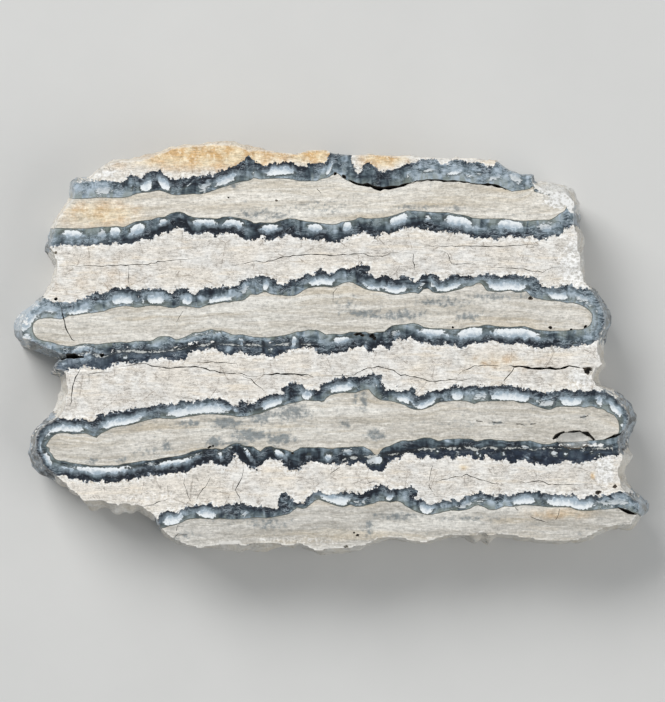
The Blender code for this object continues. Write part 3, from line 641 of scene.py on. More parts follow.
def is_inside(points, line):
    """Whether each point is inside a closed line of the drawing."""
    inside = np.zeros(len(points), dtype=bool)
    for start, end in zip(line, np.roll(line, -1, axis=0)):
        if start[1] != end[1]:
            crosses = (start[1] > points[:, 1]) != (end[1] > points[:, 1])
            slope = (end[0] - start[0]) / (end[1] - start[1])
            inside ^= crosses & (points[:, 0] < start[0] + slope * (points[:, 1] - start[1]))
    return inside


def signed_distance(points, line):
    """Distance from a closed line of the drawing, positive inside it."""
    away = distance_to(points, line, closed=True)
    return np.where(is_inside(points, line), away, -away)


def ring(*lines):
    """One closed line from several, each turned round so that it carries on from the last."""
    joined = lines[0]
    for line in lines[1:]:
        gap_kept = np.linalg.norm(line[0] - joined[-1])
        gap_turned = np.linalg.norm(line[-1] - joined[-1])
        joined = np.vstack([joined, line if gap_kept <= gap_turned else line[::-1]])
    return joined


# The plates run on past the slab's edges, so their rings close well outside it.
FAR_LEFT = -56.0
NEAR_CORNERS = np.array([[58.0, -45.0], [-34.0, -45.0]])
# The strip parted from the fourth band reaches above its own top line, across the slit.
STRIP_RISE = 0.95
DENTINES = [
    ring(np.array([[FAR_LEFT, 25.3]]), FIRST_INNER, SECOND_INNER, np.array([[FAR_LEFT, 20.4]])),
    ring(THIRD_INNER, FOURTH_INNER),
    ring(FIFTH_INNER, SIXTH_INNER),
    ring(SEVENTH_INNER, np.array([[58.0, -29.5]]), NEAR_CORNERS),
]
PLATES = [
    ring(np.array([[FAR_LEFT, 28.3]]), FIRST_OUTER, FIRST_PAIR_RIGHT, SECOND_OUTER,
         np.array([[FAR_LEFT, 16.9]])),
    ring(THIRD_OUTER, SECOND_PAIR_RIGHT, FOURTH_OUTER, SECOND_PAIR_LEFT),
    ring(FIFTH_OUTER, THIRD_PAIR_RIGHT, SIXTH_OUTER, THIRD_PAIR_LEFT),
    ring(SEVENTH_OUTER, np.array([[58.0, -30.0]]), NEAR_CORNERS),
    ring(STRIP_TOP + np.array([0.0, STRIP_RISE]), STRIP_BOTTOM),
]
# The seven bands, counted from the far side, by their inner lines.
INNERS = [FIRST_INNER, SECOND_INNER, THIRD_INNER, FOURTH_INNER, FIFTH_INNER, SIXTH_INNER,
          SEVENTH_INNER]

# Pearly lenses in the enamel: first and last x, first and last place across the band (0 at
# the dentine, 1 at the cementum), whiteness, and lean across the band in mm.
LENSES = [
    [(-43, -41.2, .2, .6, .35), (-40, -36.5, .1, .8, .35), (-33.9, -33.3, .3, .6, .8),
     (-32.3, -30.2, .05, .68, 1), (-29.1, -27.1, .12, .7, 1, -.5), (-24.6, -24.0, .1, .95, .7, 3.9),
     (-22.5, -20, .1, .7, .4), (-20, -16, .1, .6, .8), (-19.6, -16, .15, .6, 1),
     (-13.4, -12.95, .05, .8, .7), (-11.5, -6, .2, .68, 1), (-.9, .2, .15, .65, .9, .8),
     (12.6, 13.4, .3, .6, .7), (15.5, 18, .35, .65, .5, 1), (19.5, 22, .3, .58, .9),
     (22.4, 24, .2, .45, .7), (24.6, 25.4, .35, .75, .6), (26.5, 28.6, .2, .6, .5, 1.5),
     (30, 32.6, .3, .8, .45, -1)],
    [(-45.5, -41.5, .1, .5, 1), (-39.3, -37.8, .1, .6, .5), (-37.3, -35.3, .03, .55, 1),
     (-34, -31.2, .12, .62, 1), (-29, -27.5, .1, .45, .9), (-25.6, -25, .05, .25, .8),
     (-23.5, -19, .07, .45, 1), (-18.3, -14.5, .12, .53, 1), (-11.8, -8.7, .1, .55, 1),
     (-4, -1.2, .07, .5, 1), (2, 3.5, .02, .55, 1), (9.8, 13, .05, .6, 1),
     (15.8, 16.9, .2, .55, .8), (19, 24, .1, .65, 1), (27.8, 32.5, .02, .53, 1),
     (34.5, 37.5, .1, .6, .45)],
    [(-51.5, -48.6, .05, .5, .8), (-48, -46, .25, .5, .9), (-44.3, -40.3, .03, .4, 1),
     (-36.8, -33, .12, .6, 1), (-31.8, -31.2, .05, .8, .8), (-30.9, -27.7, .1, .62, 1),
     (-25.1, -23.3, .12, .55, 1), (-20.9, -16.3, .05, .45, 1), (-15.3, -13.8, .15, .75, .5),
     (-11.5, -10.4, .1, .65, 1), (-8.65, -8.4, .05, .8, .7), (-4, .8, .1, .6, 1),
     (5.2, 9, .06, .36, 1), (8.5, 13.1, .08, .5, 1), (14.6, 16, .2, .7, .5),
     (16.6, 17.4, .15, .6, .8), (17.2, 22, .08, .5, 1), (26, 33, .05, .58, 1),
     (36.4, 39.8, .1, .6, 1), (40.7, 43.7, .2, .6, .6), (44.1, 44.7, .3, .6, .8)],
    [(-45.7, -44, .1, .8, .5), (-43.3, -39.7, .05, .7, .8), (-30.65, -29.95, .2, .5, .9),
     (-24.5, -20, .1, .5, .5), (-19.5, -18.3, .05, .35, .9), (-15.6, -14.6, .35, .75, .9),
     (-6.6, -5.6, .3, .85, 1), (.1, 3.4, .17, .5, 1), (5.65, 5.95, .1, .8, .6),
     (10, 11.8, .2, .8, .4), (14.5, 19.7, .06, .5, 1), (20.2, 20.45, .05, .8, .6),
     (21, 25.6, .05, .65, 1), (26.4, 35.5, .1, .6, 1), (40.35, 41.05, .7, .9, .8)],
    [(-47.8, -40.4, .1, .55, .95), (-38.6, -31, .05, .5, 1), (-28, -16.2, .05, .68, .85),
     (-11.6, -8, .1, .6, 1), (-4.9, -3.2, .05, .7, 1), (-.3, 3.8, .08, .6, 1),
     (7.2, 7.75, .45, .65, .9), (10.7, 13.3, .15, .6, 1), (13.6, 17.8, .05, .5, 1),
     (20, 22.2, .04, .6, 1), (23.6, 26, .1, .7, .5), (26.2, 33.6, .03, .6, 1),
     (34.3, 37.3, .1, .7, .45), (38.2, 42, .05, .6, 1), (44.1, 45.4, .1, .6, .8),
     (46.3, 48.7, .15, .6, 1)],
    [(-48, -46.2, .15, .6, .8), (-43.8, -32.5, .1, .5, 1), (-31, -28.8, .1, .5, .45),
     (-29.3, -22.6, .2, .5, 1), (-22.9, -21.2, .2, .45, .6), (-18.9, -18, .16, .55, .9),
     (-17.2, -16.2, .1, .6, .35), (-14.55, -13.45, .1, .55, 1, 1.2),
     (-9.5, -7.7, .1, .65, 1, 1.2), (-4.05, -3.35, .45, .68, .9), (-1.05, .25, .28, .62, 1),
     (2, 3.5, .05, .45, .5), (31.5, 33, .15, .45, .6)],
    [(-27.9, -24.4, .05, .7, 1), (-22.2, -18.8, .05, .65, 1), (-15.3, -13.3, .05, .5, .45),
     (-2.4, 3.5, .05, .75, .9), (3.8, 6, .1, .6, .35), (9, 10.3, .08, .5, 1),
     (14.6, 17, .05, .7, 1), (19.6, 23.4, .1, .6, .45), (23.5, 26, .2, .7, .55),
     (30, 34, .05, .62, 1), (35.5, 44, .04, .72, 1), (44, 50, .1, .8, .35)],
]
# How the enamel's tone runs along each band: pairs of x and tone, -1 pale and +1 nearly black.
TONES = [
    [(-44, -1), (-36, -.8), (-34, .1), (-30, .5), (-24, .5), (-16, .4), (-12, .2), (-8, .5),
     (-4, .1), (-1, -.2), (3, -.3), (6, .3), (9, .5), (12, .1), (15, -.7), (20, -.8), (26, -.7),
     (30, -.6), (34, -.9)],
    [(-47, -.4), (-43, -.3), (-36, .1), (-30, .7), (-22, 1), (-12, .8), (-3, .4), (4, .3),
     (12, .2), (18, .3), (24, .2), (28, -.3), (34, -.4), (38, -.5), (42, -.7)],
    [(-52, -.9), (-47, -.8), (-42, -.7), (-38, -.2), (-30, 0), (-22, 0), (-15, -.2), (-8, -.1),
     (-2, .3), (3, .3), (8, .3), (14, .3), (20, .1), (26, -.1), (32, -.2), (38, -.4), (44, -.6),
     (48, -.5)],
    [(-50, -.5), (-44, -.6), (-36, -.3), (-28, -.5), (-20, -.4), (-12, -.3), (-5, -.2), (-2, -.1),
     (2, .4), (8, .5), (12, .1), (18, .3), (28, .4), (36, .2), (40, -.3), (46, -.6)],
    [(-50, .1), (-44, .2), (-38, .1), (-30, .1), (-20, -.2), (-12, .3), (-6, 0), (0, .2), (6, .1),
     (11, -.1), (16, .3), (22, 0), (30, .1), (38, .2), (44, -.1), (50, -.3)],
    [(-50, -.1), (-44, .5), (-36, .9), (-28, 1), (-20, 1), (-12, .8), (-4, .8), (2, .7), (8, .8),
     (16, .9), (26, .9), (36, .8), (44, .5), (50, .2)],
    [(-30, .3), (-22, .2), (-14, .2), (-6, -.1), (0, .1), (6, .3), (12, .2), (18, -.1), (24, -.4),
     (32, -.1), (40, .1), (46, -.4), (52, -.6)],
]
# Small pearly specks: x, y, radius and whiteness.
PEARLS = [
    (-49.7, 6.9, .6, .8), (-51.0, 5.3, .7, .9), (-51.4, 3.4, .6, .85), (-50.9, 1.6, .6, .8),
    (6.8, -19.1, .65, .5), (7.9, -19.1, .55, 1), (17.6, -17.65, .3, 1), (24.3, -17.9, .3, .9),
    (24.7, -18.3, .3, .9), (39, -18.1, .3, 1), (42, -17.6, .3, .4), (-34.4, -1.75, .35, .8),
    (-17.1, -.2, .35, .8), (-10.1, -.55, .35, .8), (37.0, -18.0, .5, .55),
    (43.4, -17.8, .3, .8), (44.5, -18.4, .3, .8), (32.4, -18.6, .35, .6), (21, -18.2, .4, .4),
    (28.6, -18.1, .4, .45),
]
# Gold staining: x, y, half-length, half-width and strength.
GOLD = [
    (-20, 33, 20, 3.2, 1), (-3, 33, 6, 2.2, 1), (9, 32.5, 5, 2.2, 1), (22, 33, 10, 1, .6),
    (-39, 22.8, 8, 2.8, .8), (28, 31.8, 3, .6, .8),
    (-38, 11, 9, 6, .35), (28, -2.6, 9, 1.9, .55), (38, -28, 8, 1.3, .6), (22, -20.3, 1.2, .6, .8),
    (43.45, -21.7, .5, .8, .9), (-29, 18, 6, 3, .1), (10, -22, 9, 2, .14), (-46, 12, 3, 6, .3),
    (20, 26, 16, 1.5, .12), (-20, -6, 10, 2, .12), (32, 20, 9, 1, .12),
]
# Blue-grey smudges where dentine took up mineral: x, y, half-length, half-width, strength.
SMUDGES = [
    (-17, 28, 2, .8, .75), (-13, 23.1, 3.4, .8, .6), (-9, 22.4, 2.4, .7, .6), (6, 5.6, 3.4, .8, .7),
    (12, 5.5, 4, .9, .7), (23, 5.2, 2.2, .7, .7), (19, 7.6, 4.5, .9, .6), (27, 8.6, 4, .7, .6),
    (33, 9, 3, .6, .5), (-27.3, -16.8, .9, .8, .9), (-23.5, -12.9, 1.9, .6, .8),
    (-17.3, -12.9, 2.8, 1, .9), (-11.8, -11.6, 2.6, 1.6, .75), (-13.3, -14.9, 3.2, .9, 1),
    (-8.5, -15.5, 2.6, .9, .9), (-19.3, -16, 1.5, .9, .85), (-16, -16.3, 2.5, .5, .8),
    (-6.5, -11, 3, 1.6, .7), (5.5, -8.9, .7, 1.9, .7), (4.1, -8.7, .5, 1.7, .6),
    (2.2, -13, 1, .8, .6), (7.4, -14.9, 1.6, .9, .85), (-39.7, -19.2, 1, .8, .6),
    (-34.7, -19.1, 1, .7, .6), (-16, -28, 7, 1.2, .6), (-10.5, -29.8, 3.5, 1, .55),
    (6.2, -30.4, .9, 1.6, .6), (11, -28.4, 4, .7, .65), (3, 6.5, 2.4, 1.7, .4),
    (-2, 24, 6, 1, .35), (-30, -17.5, 4, .9, .35), (14, 23.9, 4, .5, .5), (21, 23.8, 2, .6, .5),
    (24, -28.8, 5, .6, .4), (-24, -31.6, 2, .8, .4),
    (20, -13, 5, .8, .25), (27.5, -12.8, 1.4, .2, .7), (33, -13, 1.2, .25, .5),
    (42, -11.8, .6, .3, .7),
]
# The slits where the fourth and sixth bands' layers part, filled with clay and white salts.
SEAM = traced("""
    -47.5 -1.9, -45.5 -1.85, -44 -1.4, -42.4 -1.6, -41.3 -1.1, -40.3 -.9, -39.3 -1.4, -37.6 -1.6,
    -36.4 -1.1, -35.4 -.7, -33 -.65, -30.8 -.8, -28.5 -.8, -26.5 -.5, -24 -.1, -22 .25, -20 .5,
    -18 .6, -15.6 .25, -14 .45, -12 .3, -10 .3, -7.5 .5, -5.5 .5, -3 .4
""")
SECOND_SEAM = traced("""
    1.5 -19, 3.5 -18.6, 4.5 -18.7, 7 -18.4, 9.5 -18.1, 11 -18, 13 -17.7, 14 -17.4, 15.5 -17.15,
    17 -17.3, 18 -16.9, 20 -17.1, 23 -16.9, 24.5 -17.4, 26 -16.9, 28.5 -17.2, 31 -17, 33.5 -17.3,
    36 -17, 38.5 -17.2, 41 -17, 44 -17.2, 47 -17
""")
# Chalky caps that hide the enamel under them: x, y, half-length, half-width and strength.
CAPS = [
    (36.6, 26.9, 1.7, .8, 1), (38.8, 25.6, 2.2, 1.2, 1.2), (41.4, 24, 1.6, 1.2, 1.2),
    (41.6, 22.2, .7, 1.4, .6), (-47.5, -2.8, .6, .5, .4), (45.5, -19.2, 2.4, .5, .4),
    (38.5, -16.5, 2.6, .3, .45), (43.8, -16.6, 2.8, .4, .6),
    (-51.3, 4.4, 1, 1.8, .5), (-50.8, 1.5, 1.3, .8, .5), (-49.6, 7.3, 1.4, .8, .42),
]
# Chalky places, etched white and not polished: x, y, half-length, half-width and strength.
CHALK = [
    (38.3, 25, 2.4, 1.4, 1), (45.5, -20.5, 1.6, 3.2, .85), (41.5, -5.5, 2.6, 2.4, .6),
    (41.4, 13.6, 3.2, 5.6, .85), (-46.4, 14.5, 1.5, 1.5, .5), (-5, -32.5, 9, 1, .35),
    (-30, -25.5, 8, 1.6, .35), (44.5, -16.6, 3.6, .45, .8), (-50, 3, 1, 2, .3),
    (36, -4.3, 3, .5, .4), (-38, 29.8, 4, .8, .6), (15, -5, 3, 1, .15),
]


def blobs(points, spots):
    """Soft round patches at the places listed, 0 to 1."""
    total = np.zeros(len(points))
    for x, y, half_length, half_width, strength in spots:
        away = ((points[:, 0] - x) / half_length) ** 2 + ((points[:, 1] - y) / half_width) ** 2
        total = np.maximum(total, strength * np.exp(-0.9 * away ** 1.4))
    return total


def pulled_inside(points, line, margin):
    """Points outside a closed line moved onto it, so that the plates run down the sides."""
    outside = np.flatnonzero(signed_distance(points, line) < margin)
    strays = points[outside]
    best = np.full(len(outside), np.inf)
    place = strays.copy()
    for start, end in zip(line, np.roll(line, -1, axis=0)):
        foot = foot_on(strays, start, end)
        gap = np.linalg.norm(strays - foot, axis=1)
        nearer = gap < best
        best[nearer] = gap[nearer]
        place[nearer] = foot[nearer]
    inward = line.mean(axis=0) - place
    inward /= np.linalg.norm(inward, axis=1)[:, None]
    moved = points.copy()
    moved[outside] = place + inward * margin
    return moved


# In mm: the depth below which points count as wall and how far inside the edge they then
# read the drawing, the reach of the slits' field and their half-width, the least width of
# enamel, the widths between which lenses are sized and how far their field reaches. Last, how
# many times their listed radius the pearls measure.
WALL_BELOW = 0.3
WALL_MARGIN = 0.12
SLIT_REACH = 3.0
SLIT_HALF = 0.6
LEAST_WIDTH = 0.3
LENS_WIDTHS = (0.5, 4.5)
LENS_REACH = 2.0
PEARL_GROWTH = 1.35
# Lenses are blunt lengthways and rounder across.
BLUNT = 3.4
ROUND = 2.2
CORNER = 1 / 2.6
# Growth lines keep partly to their plate's own height and partly to the drawing's.
FLOW_HEIGHT = 9.0
FLOW_SHARE = 0.35
# How grey each plate's dentine is, from the far side to the near one.
PLATE_GREYNESS = np.array([0.1, 0.5, 0.6, 1.0])
RIM_REACH = 3.0
RIM_BELOW = 0.1

places = positions(slab)
depth = THICKNESS - places[:, 2]
drawn = places[:, :2] - FACE_MIDDLE
drawn[:, 1] -= LEAN_PER_MM * depth
carried = pulled_inside(drawn, face_edge, WALL_MARGIN)
drawn = np.where(depth[:, None] > WALL_BELOW, carried, drawn)

dentine_depths = np.array([signed_distance(drawn, line) for line in DENTINES])
dentine = dentine_depths.max(axis=0)
plate = np.max([signed_distance(drawn, line) for line in PLATES], axis=0)
nearest_inner = np.array([distance_to(drawn, line) for line in INNERS])
band = nearest_inner.argmin(axis=0)
# At the third plate's right end the fifth band's inner line comes close to the sixth band.
band[(band == 4) & (drawn[:, 0] > 30.0) & (drawn[:, 1] < -14.2)] = 5
seam = np.full(len(drawn), SLIT_REACH)
for line in (SEAM, SECOND_SEAM):
    over_line = drawn[:, 1] - np.interp(drawn[:, 0], line[:, 0], line[:, 1])
    beside = (drawn[:, 0] > line[0, 0]) & (drawn[:, 0] < line[-1, 0])
    closer = beside & (np.abs(over_line) < np.abs(seam))
    seam[closer] = over_line[closer]
plate = np.maximum(plate, SLIT_HALF - distance_to(drawn, SEAM))
across = -dentine / np.maximum(plate - dentine, LEAST_WIDTH)
width = np.clip(plate - dentine, *LENS_WIDTHS)
lens = np.full(len(drawn), -LENS_REACH)
lens_over = np.zeros(len(drawn))
whiteness = np.zeros(len(drawn))
tone_along = np.zeros(len(drawn))
for number, row in enumerate(LENSES):
    chosen = np.flatnonzero(band == number)
    tone_along[chosen] = np.interp(drawn[chosen, 0], *np.array(TONES[number]).T)
    for x0, x1, t0, t1, tone, *lean in row:
        shift = (lean[0] if lean else 0.0) * ((across[chosen] - t0) / (t1 - t0) - 0.5)
        along = (drawn[chosen, 0] - shift - (x0 + x1) / 2.0) / ((x1 - x0) / 2.0)
        over = (across[chosen] - (t0 + t1) / 2.0) / ((t1 - t0) / 2.0)
        radius = (np.abs(along) ** BLUNT + np.abs(over) ** ROUND) ** CORNER
        half = np.minimum((x1 - x0) / 2.0, (t1 - t0) / 2.0 * width[chosen])
        value = np.clip((1.0 - radius) * half, -LENS_REACH, LENS_REACH)
        better = value > lens[chosen]
        lens[chosen[better]] = value[better]
        lens_over[chosen[better]] = np.clip(over[better], -1.5, 1.5)
        whiteness[chosen[better]] = tone
for x, y, radius, tone in PEARLS:
    value = PEARL_GROWTH * radius - np.hypot(drawn[:, 0] - x, drawn[:, 1] - y)
    better = value > lens
    lens[better] = value[better]
    whiteness[better] = tone

# Dentine's growth lines follow its plate's two enamel edges, so each plate has its own height
# up the drawing that runs from one edge to the other.
lower = np.min(nearest_inner[[1, 3, 5, 6]], axis=0)
upper = np.min(nearest_inner[[0, 2, 4]], axis=0)
flow = FLOW_HEIGHT * lower / np.maximum(lower + upper, 0.5)
# The near plate has lost its other edge, so its lines are counted from the one it has.
flow = np.where(nearest_inner[6] <= lower, -0.9 * nearest_inner[6], flow)
flow = FLOW_SHARE * flow + (1.0 - FLOW_SHARE) * drawn[:, 1]
rim = np.minimum(signed_distance(drawn, face_edge), RIM_REACH)
fields = {
    "dentine": dentine,
    "plate": plate,
    "lens": lens,
    "whiteness": whiteness,
    "gold": blobs(drawn, GOLD),
    "smudge": blobs(drawn, SMUDGES),
    "chalk": blobs(drawn, CHALK),
    "greyness": PLATE_GREYNESS[dentine_depths.argmax(axis=0)],
    "tone": tone_along,
    "flow": flow,
    "lens_over": lens_over,
    "seam": seam,
    "cap": blobs(drawn, CAPS),
    "rim": np.where(depth < RIM_BELOW, rim, RIM_BELOW),
}
for name, values in fields.items():
    attribute = slab.data.attributes.new(name, "FLOAT", "POINT")
    attribute.data.foreach_set("value", values.astype(np.float32))


# Materials.
# Fossil tooth, coloured by groundwater minerals: cream cementum, streaky dentine and slate
# enamel. One pattern serves the polished face, the broken sides and the sawn underside.
def paint(red, green, blue):
    """A colour given as a screen shows it, 0 to 255, as Blender wants it."""
    shown = np.array([red, green, blue]) / 255.0
    linear = np.where(shown <= 0.04045, shown / 12.92, ((shown + 0.055) / 1.055) ** 2.4)
    return (*linear.tolist(), 1.0)


class Nodes:
    """A material's or group's nodes, added and joined with one call each."""

    def __init__(self, tree):
        self.tree = tree

    def add(self, kind, inputs=(), **settings):
        """Add a node, set its options and its inputs, and return it."""
        node = self.tree.nodes.new(kind)
        for name, value in settings.items():
            setattr(node, name, value)
        for key, value in dict(inputs).items():
            self.feed(node.inputs[key], value)
        return node

    def feed(self, socket, value):
        """Join a socket to another, or give it a plain value."""
        if isinstance(value, bpy.types.NodeSocket):
            self.tree.links.new(value, socket)
        else:
            socket.default_value = value

    def math(self, operation, first, second=0.0, third=0.0):
        """A calculation on one value to three."""
        inputs = {0: first, 1: second, 2: third}
        return self.add("ShaderNodeMath", inputs, operation=operation).outputs[0]

    def times(self, first, second):
        """Two values multiplied."""
        return self.math("MULTIPLY", first, second)

    def plus(self, value, extra, weight):
        """A value with another one added to it at a weight."""
        return self.math("MULTIPLY_ADD", extra, weight, value)

    def sway(self, value, grain, weight):
        """A value moved up and down by noise that is centred on one half."""
        return self.plus(value, self.math("SUBTRACT", grain, 0.5), weight)

    def rest_of(self, mask):
        """Where a mask is not."""
        return self.math("SUBTRACT", 1.0, mask)

    def step(self, value, low, high):
        """0 below the low value, 1 above the high one, and smooth between."""
        inputs = {"Value": value, "From Min": low, "From Max": high}
        return self.add("ShaderNodeMapRange", inputs, interpolation_type="SMOOTHSTEP").outputs[0]

    def line_at(self, value, middle, half_width):
        """1 where a value crosses the middle, fading to 0 at the half-width."""
        away = self.math("ABSOLUTE", self.math("SUBTRACT", value, middle))
        return self.rest_of(self.step(away, 0.0, half_width))

    def mix(self, factor, first, second):
        """Two colours mixed."""
        node = self.add("ShaderNodeMix", data_type="RGBA")
        self.feed(node.inputs[0], factor)
        self.feed(node.inputs[6], first)
        self.feed(node.inputs[7], second)
        return node.outputs[2]

    def tint(self, base, mask, strength, colour):
        """A colour laid over another where a mask is, at a strength."""
        return self.mix(self.times(mask, strength), base, colour)

    def layers(self, base, rows):
        """Colours laid on in turn: each row's value, its low and high, strength and colour."""
        for value, low, high, strength, colour in rows:
            base = self.tint(base, self.step(value, low, high), strength, paint(*colour))
        return base

    def noise(self, vector, scale, detail=3.0, roughness=0.55, distortion=0.0):
        """Cloudy noise, centred on one half."""
        inputs = {"Vector": vector, "Scale": scale, "Detail": detail,
                  "Roughness": roughness, "Distortion": distortion}
        return self.add("ShaderNodeTexNoise", inputs).outputs["Fac"]

    def stretched(self, vector, scale, turn=0.0, shift=(0.0, 0.0, 0.0)):
        """The same places, stretched, turned and moved."""
        inputs = {"Vector": vector, "Scale": scale, "Rotation": (0.0, 0.0, turn), "Location": shift}
        return self.add("ShaderNodeMapping", inputs).outputs[0]

    def places(self):
        """The piece's own coordinates in metres."""
        return self.add("ShaderNodeTexCoord").outputs["Object"]

    def places_mm(self):
        """The piece's own coordinates in millimetres."""
        inputs = {0: self.places(), 3: 1.0 / MM}
        return self.add("ShaderNodeVectorMath", inputs, operation="SCALE").outputs[0]

    def field(self, name):
        """A value kept on the mesh."""
        return self.add("ShaderNodeAttribute", attribute_name=name).outputs["Fac"]

    def ramp(self, value, stops):
        """Colours along a value, from pairs of place and colour."""
        node = self.add("ShaderNodeValToRGB", {"Fac": value})
        marks = node.color_ramp.elements
        while len(marks) < len(stops):
            marks.new(0.5)
        for mark, (place, colour) in zip(marks, stops):
            mark.position = place
            mark.color = paint(*colour)
        return node.outputs["Color"]


pattern = bpy.data.node_groups.new("tooth pattern", "ShaderNodeTree")
for name, kind in (("Colour", "NodeSocketColor"), ("Height", "NodeSocketFloat"),
                   ("Enamel", "NodeSocketFloat")):
    pattern.interface.new_socket(name, in_out="OUTPUT", socket_type=kind)
made = Nodes(pattern)
mm = made.places_mm()
kept = {name: made.field(name) for name in fields}
tone = kept["tone"]

grain_wide = made.noise(mm, 0.12, 4.0)
grain_mid = made.noise(mm, 0.45, 4.0)
grain_one = made.noise(mm, 1.15, 3.0, 0.6)
grain_fine = made.noise(mm, 1.9, 4.0, 0.65)
grain_dust = made.noise(mm, 3.4, 2.0, 0.7)

# Enamel is where a point lies inside a plate but outside its dentine. Its outer edge is
# eaten into crumbs and bristles; its inner edge is smooth.
ragged = made.math("SUBTRACT", grain_one, 0.5)
crumbs = made.math("SUBTRACT", made.noise(mm, 2.9, 2.0, 0.6), 0.5)
bristles = made.noise(made.stretched(mm, (2.6, 0.5, 0.5)), 1.0, 3.0, 0.6)
eaten = made.plus(made.times(crumbs, 0.7), ragged, 1.7)
eaten = made.sway(eaten, bristles, 0.4)
eaten = made.sway(eaten, grain_mid, 1.4)
plate_edge = made.math("ADD", kept["plate"], eaten)
dentine_edge = made.plus(kept["dentine"], ragged, 0.16)
dentine_edge = made.plus(dentine_edge, crumbs, 0.1)
in_plate = made.step(plate_edge, -0.05, 0.05)
in_dentine = made.step(dentine_edge, -0.04, 0.04)
enamel = made.times(in_plate, made.rest_of(in_dentine))

# Cementum: bone-like, cream, finely mottled with short dashes along the plates, with thin
# dark scribbles, a pale fringe beside the enamel and a wide web of hairlines.
dashes = made.noise(made.stretched(mm, (0.55, 2.6, 1.0)), 1.0, 5.0, 0.7)
long_dashes = made.noise(made.stretched(mm, (0.16, 1.1, 0.6)), 1.0, 3.0, 0.55)
cementum = made.mix(made.step(grain_mid, 0.35, 0.65), paint(231, 228, 222), paint(221, 215, 206))
cementum = made.mix(made.step(grain_wide, 0.42, 0.6), cementum, paint(228, 221, 210))
cementum = made.layers(cementum, [
    (dashes, 0.54, 0.7, 0.55, (182, 173, 160)),
    (grain_fine, 0.58, 0.72, 0.45, (168, 159, 147)),
    (grain_dust, 0.58, 0.72, 0.4, (240, 238, 232)),
    (grain_dust, 0.4, 0.28, 0.5, (158, 150, 139)),
    (long_dashes, 0.52, 0.7, 0.5, (211, 198, 178)),
])
scribbles = made.noise(made.stretched(mm, (0.4, 1.3, 0.8), 0.06), 1.0, 5.0, 0.68, 1.2)
scribble = made.times(made.line_at(scribbles, 0.5, 0.022), made.step(grain_mid, 0.43, 0.56))
cementum = made.tint(cementum, scribble, 0.8, paint(120, 110, 99))
fringe = made.times(made.step(plate_edge, -1.1, -0.1), made.step(grain_fine, 0.42, 0.56))
cementum = made.tint(cementum, fringe, 0.75, paint(240, 239, 235))
web_inputs = {"Vector": made.stretched(mm, (0.16, 0.13, 0.1), 0.1), "Scale": 1.0}
web = made.add("ShaderNodeTexVoronoi", web_inputs, feature="DISTANCE_TO_EDGE")
web_near = made.plus(web.outputs["Distance"], ragged, 0.07)
web_line = made.times(made.line_at(web_near, 0.0, 0.014), made.step(grain_mid, 0.44, 0.56))
cementum = made.tint(cementum, web_line, 0.6, paint(126, 114, 102))

# Dentine: finely streaked along its plate, greyer towards the near side of the tooth.
spread = made.add("ShaderNodeSeparateXYZ", {0: mm}).outputs
flow_inputs = {0: spread[0], 1: kept["flow"], 2: spread[2]}
flow_places = made.add("ShaderNodeCombineXYZ", flow_inputs).outputs[0]
streaks = made.noise(made.stretched(flow_places, (0.05, 0.62, 0.4)), 1.0, 6.0, 0.66, 0.3)
fine_streaks = made.noise(made.stretched(flow_places, (0.3, 2.3, 1.2)), 1.0, 5.0, 0.7, 0.3)
milky_places = made.stretched(flow_places, (0.035, 0.3, 0.2), 0.0, (7.0, 3.0, 0.0))
milky = made.noise(milky_places, 1.0, 4.0, 0.6)
brown_places = made.stretched(flow_places, (0.04, 0.4, 0.2), 0.0, (1.0, 9.0, 0.0))
brown = made.noise(brown_places, 1.0, 4.0, 0.6)
smudge_value = made.sway(kept["smudge"], grain_one, 2.0)
smudge_value = made.sway(smudge_value, grain_dust, 0.9)
dentine_pale = made.mix(kept["greyness"], paint(233, 228, 218), paint(203, 199, 191))
dentine_deep = made.mix(kept["greyness"], paint(205, 196, 180), paint(174, 169, 159))
dentine_colour = made.mix(made.step(streaks, 0.36, 0.66), dentine_pale, dentine_deep)
dentine_colour = made.layers(dentine_colour, [
    (milky, 0.5, 0.64, 0.6, (228, 225, 217)),
    (brown, 0.52, 0.68, 0.6, (190, 176, 152)),
    (fine_streaks, 0.53, 0.7, 0.5, (158, 150, 138)),
    (fine_streaks, 0.46, 0.32, 0.55, (236, 233, 226)),
    (grain_dust, 0.56, 0.72, 0.25, (232, 229, 222)),
    (grain_dust, 0.38, 0.27, 0.5, (142, 136, 126)),
    (smudge_value, 0.12, 0.85, 0.85, (118, 126, 129)),
])

# Gold staining and chalky etched places lie over both.
gold_value = made.step(made.sway(kept["gold"], grain_mid, 0.9), 0.1, 0.85)
gold_value = made.times(gold_value, kept["gold"])
gold_colour = made.mix(made.step(grain_mid, 0.36, 0.64), paint(236, 213, 170),
                       paint(211, 166, 99))
gold_colour = made.layers(gold_colour, [
    (dashes, 0.5, 0.7, 0.85, (176, 136, 84)),
    (grain_fine, 0.5, 0.66, 0.6, (240, 228, 200)),
])
tissue = made.mix(in_dentine, cementum, dentine_colour)
tissue = made.tint(tissue, gold_value, 0.85, gold_colour)
chalk_value = made.sway(kept["chalk"], grain_fine, 1.4)
chalk_colour = made.mix(made.step(grain_fine, 0.36, 0.56), paint(200, 197, 190),
                        paint(240, 239, 236))
tissue = made.tint(tissue, made.step(chalk_value, 0.2, 0.75), 0.85, chalk_colour)
fibres = made.noise(made.stretched(mm, (0.9, 4.2, 1.2)), 1.0, 4.0, 0.65)
lift = 1.0
for grain, weight in ((grain_dust, 0.4), (grain_fine, 0.7), (fibres, 1.3), (long_dashes, 0.5)):
    lift = made.sway(lift, grain, weight)
tissue = made.add("ShaderNodeVectorMath", {0: tissue, 3: lift}, operation="SCALE").outputs[0]

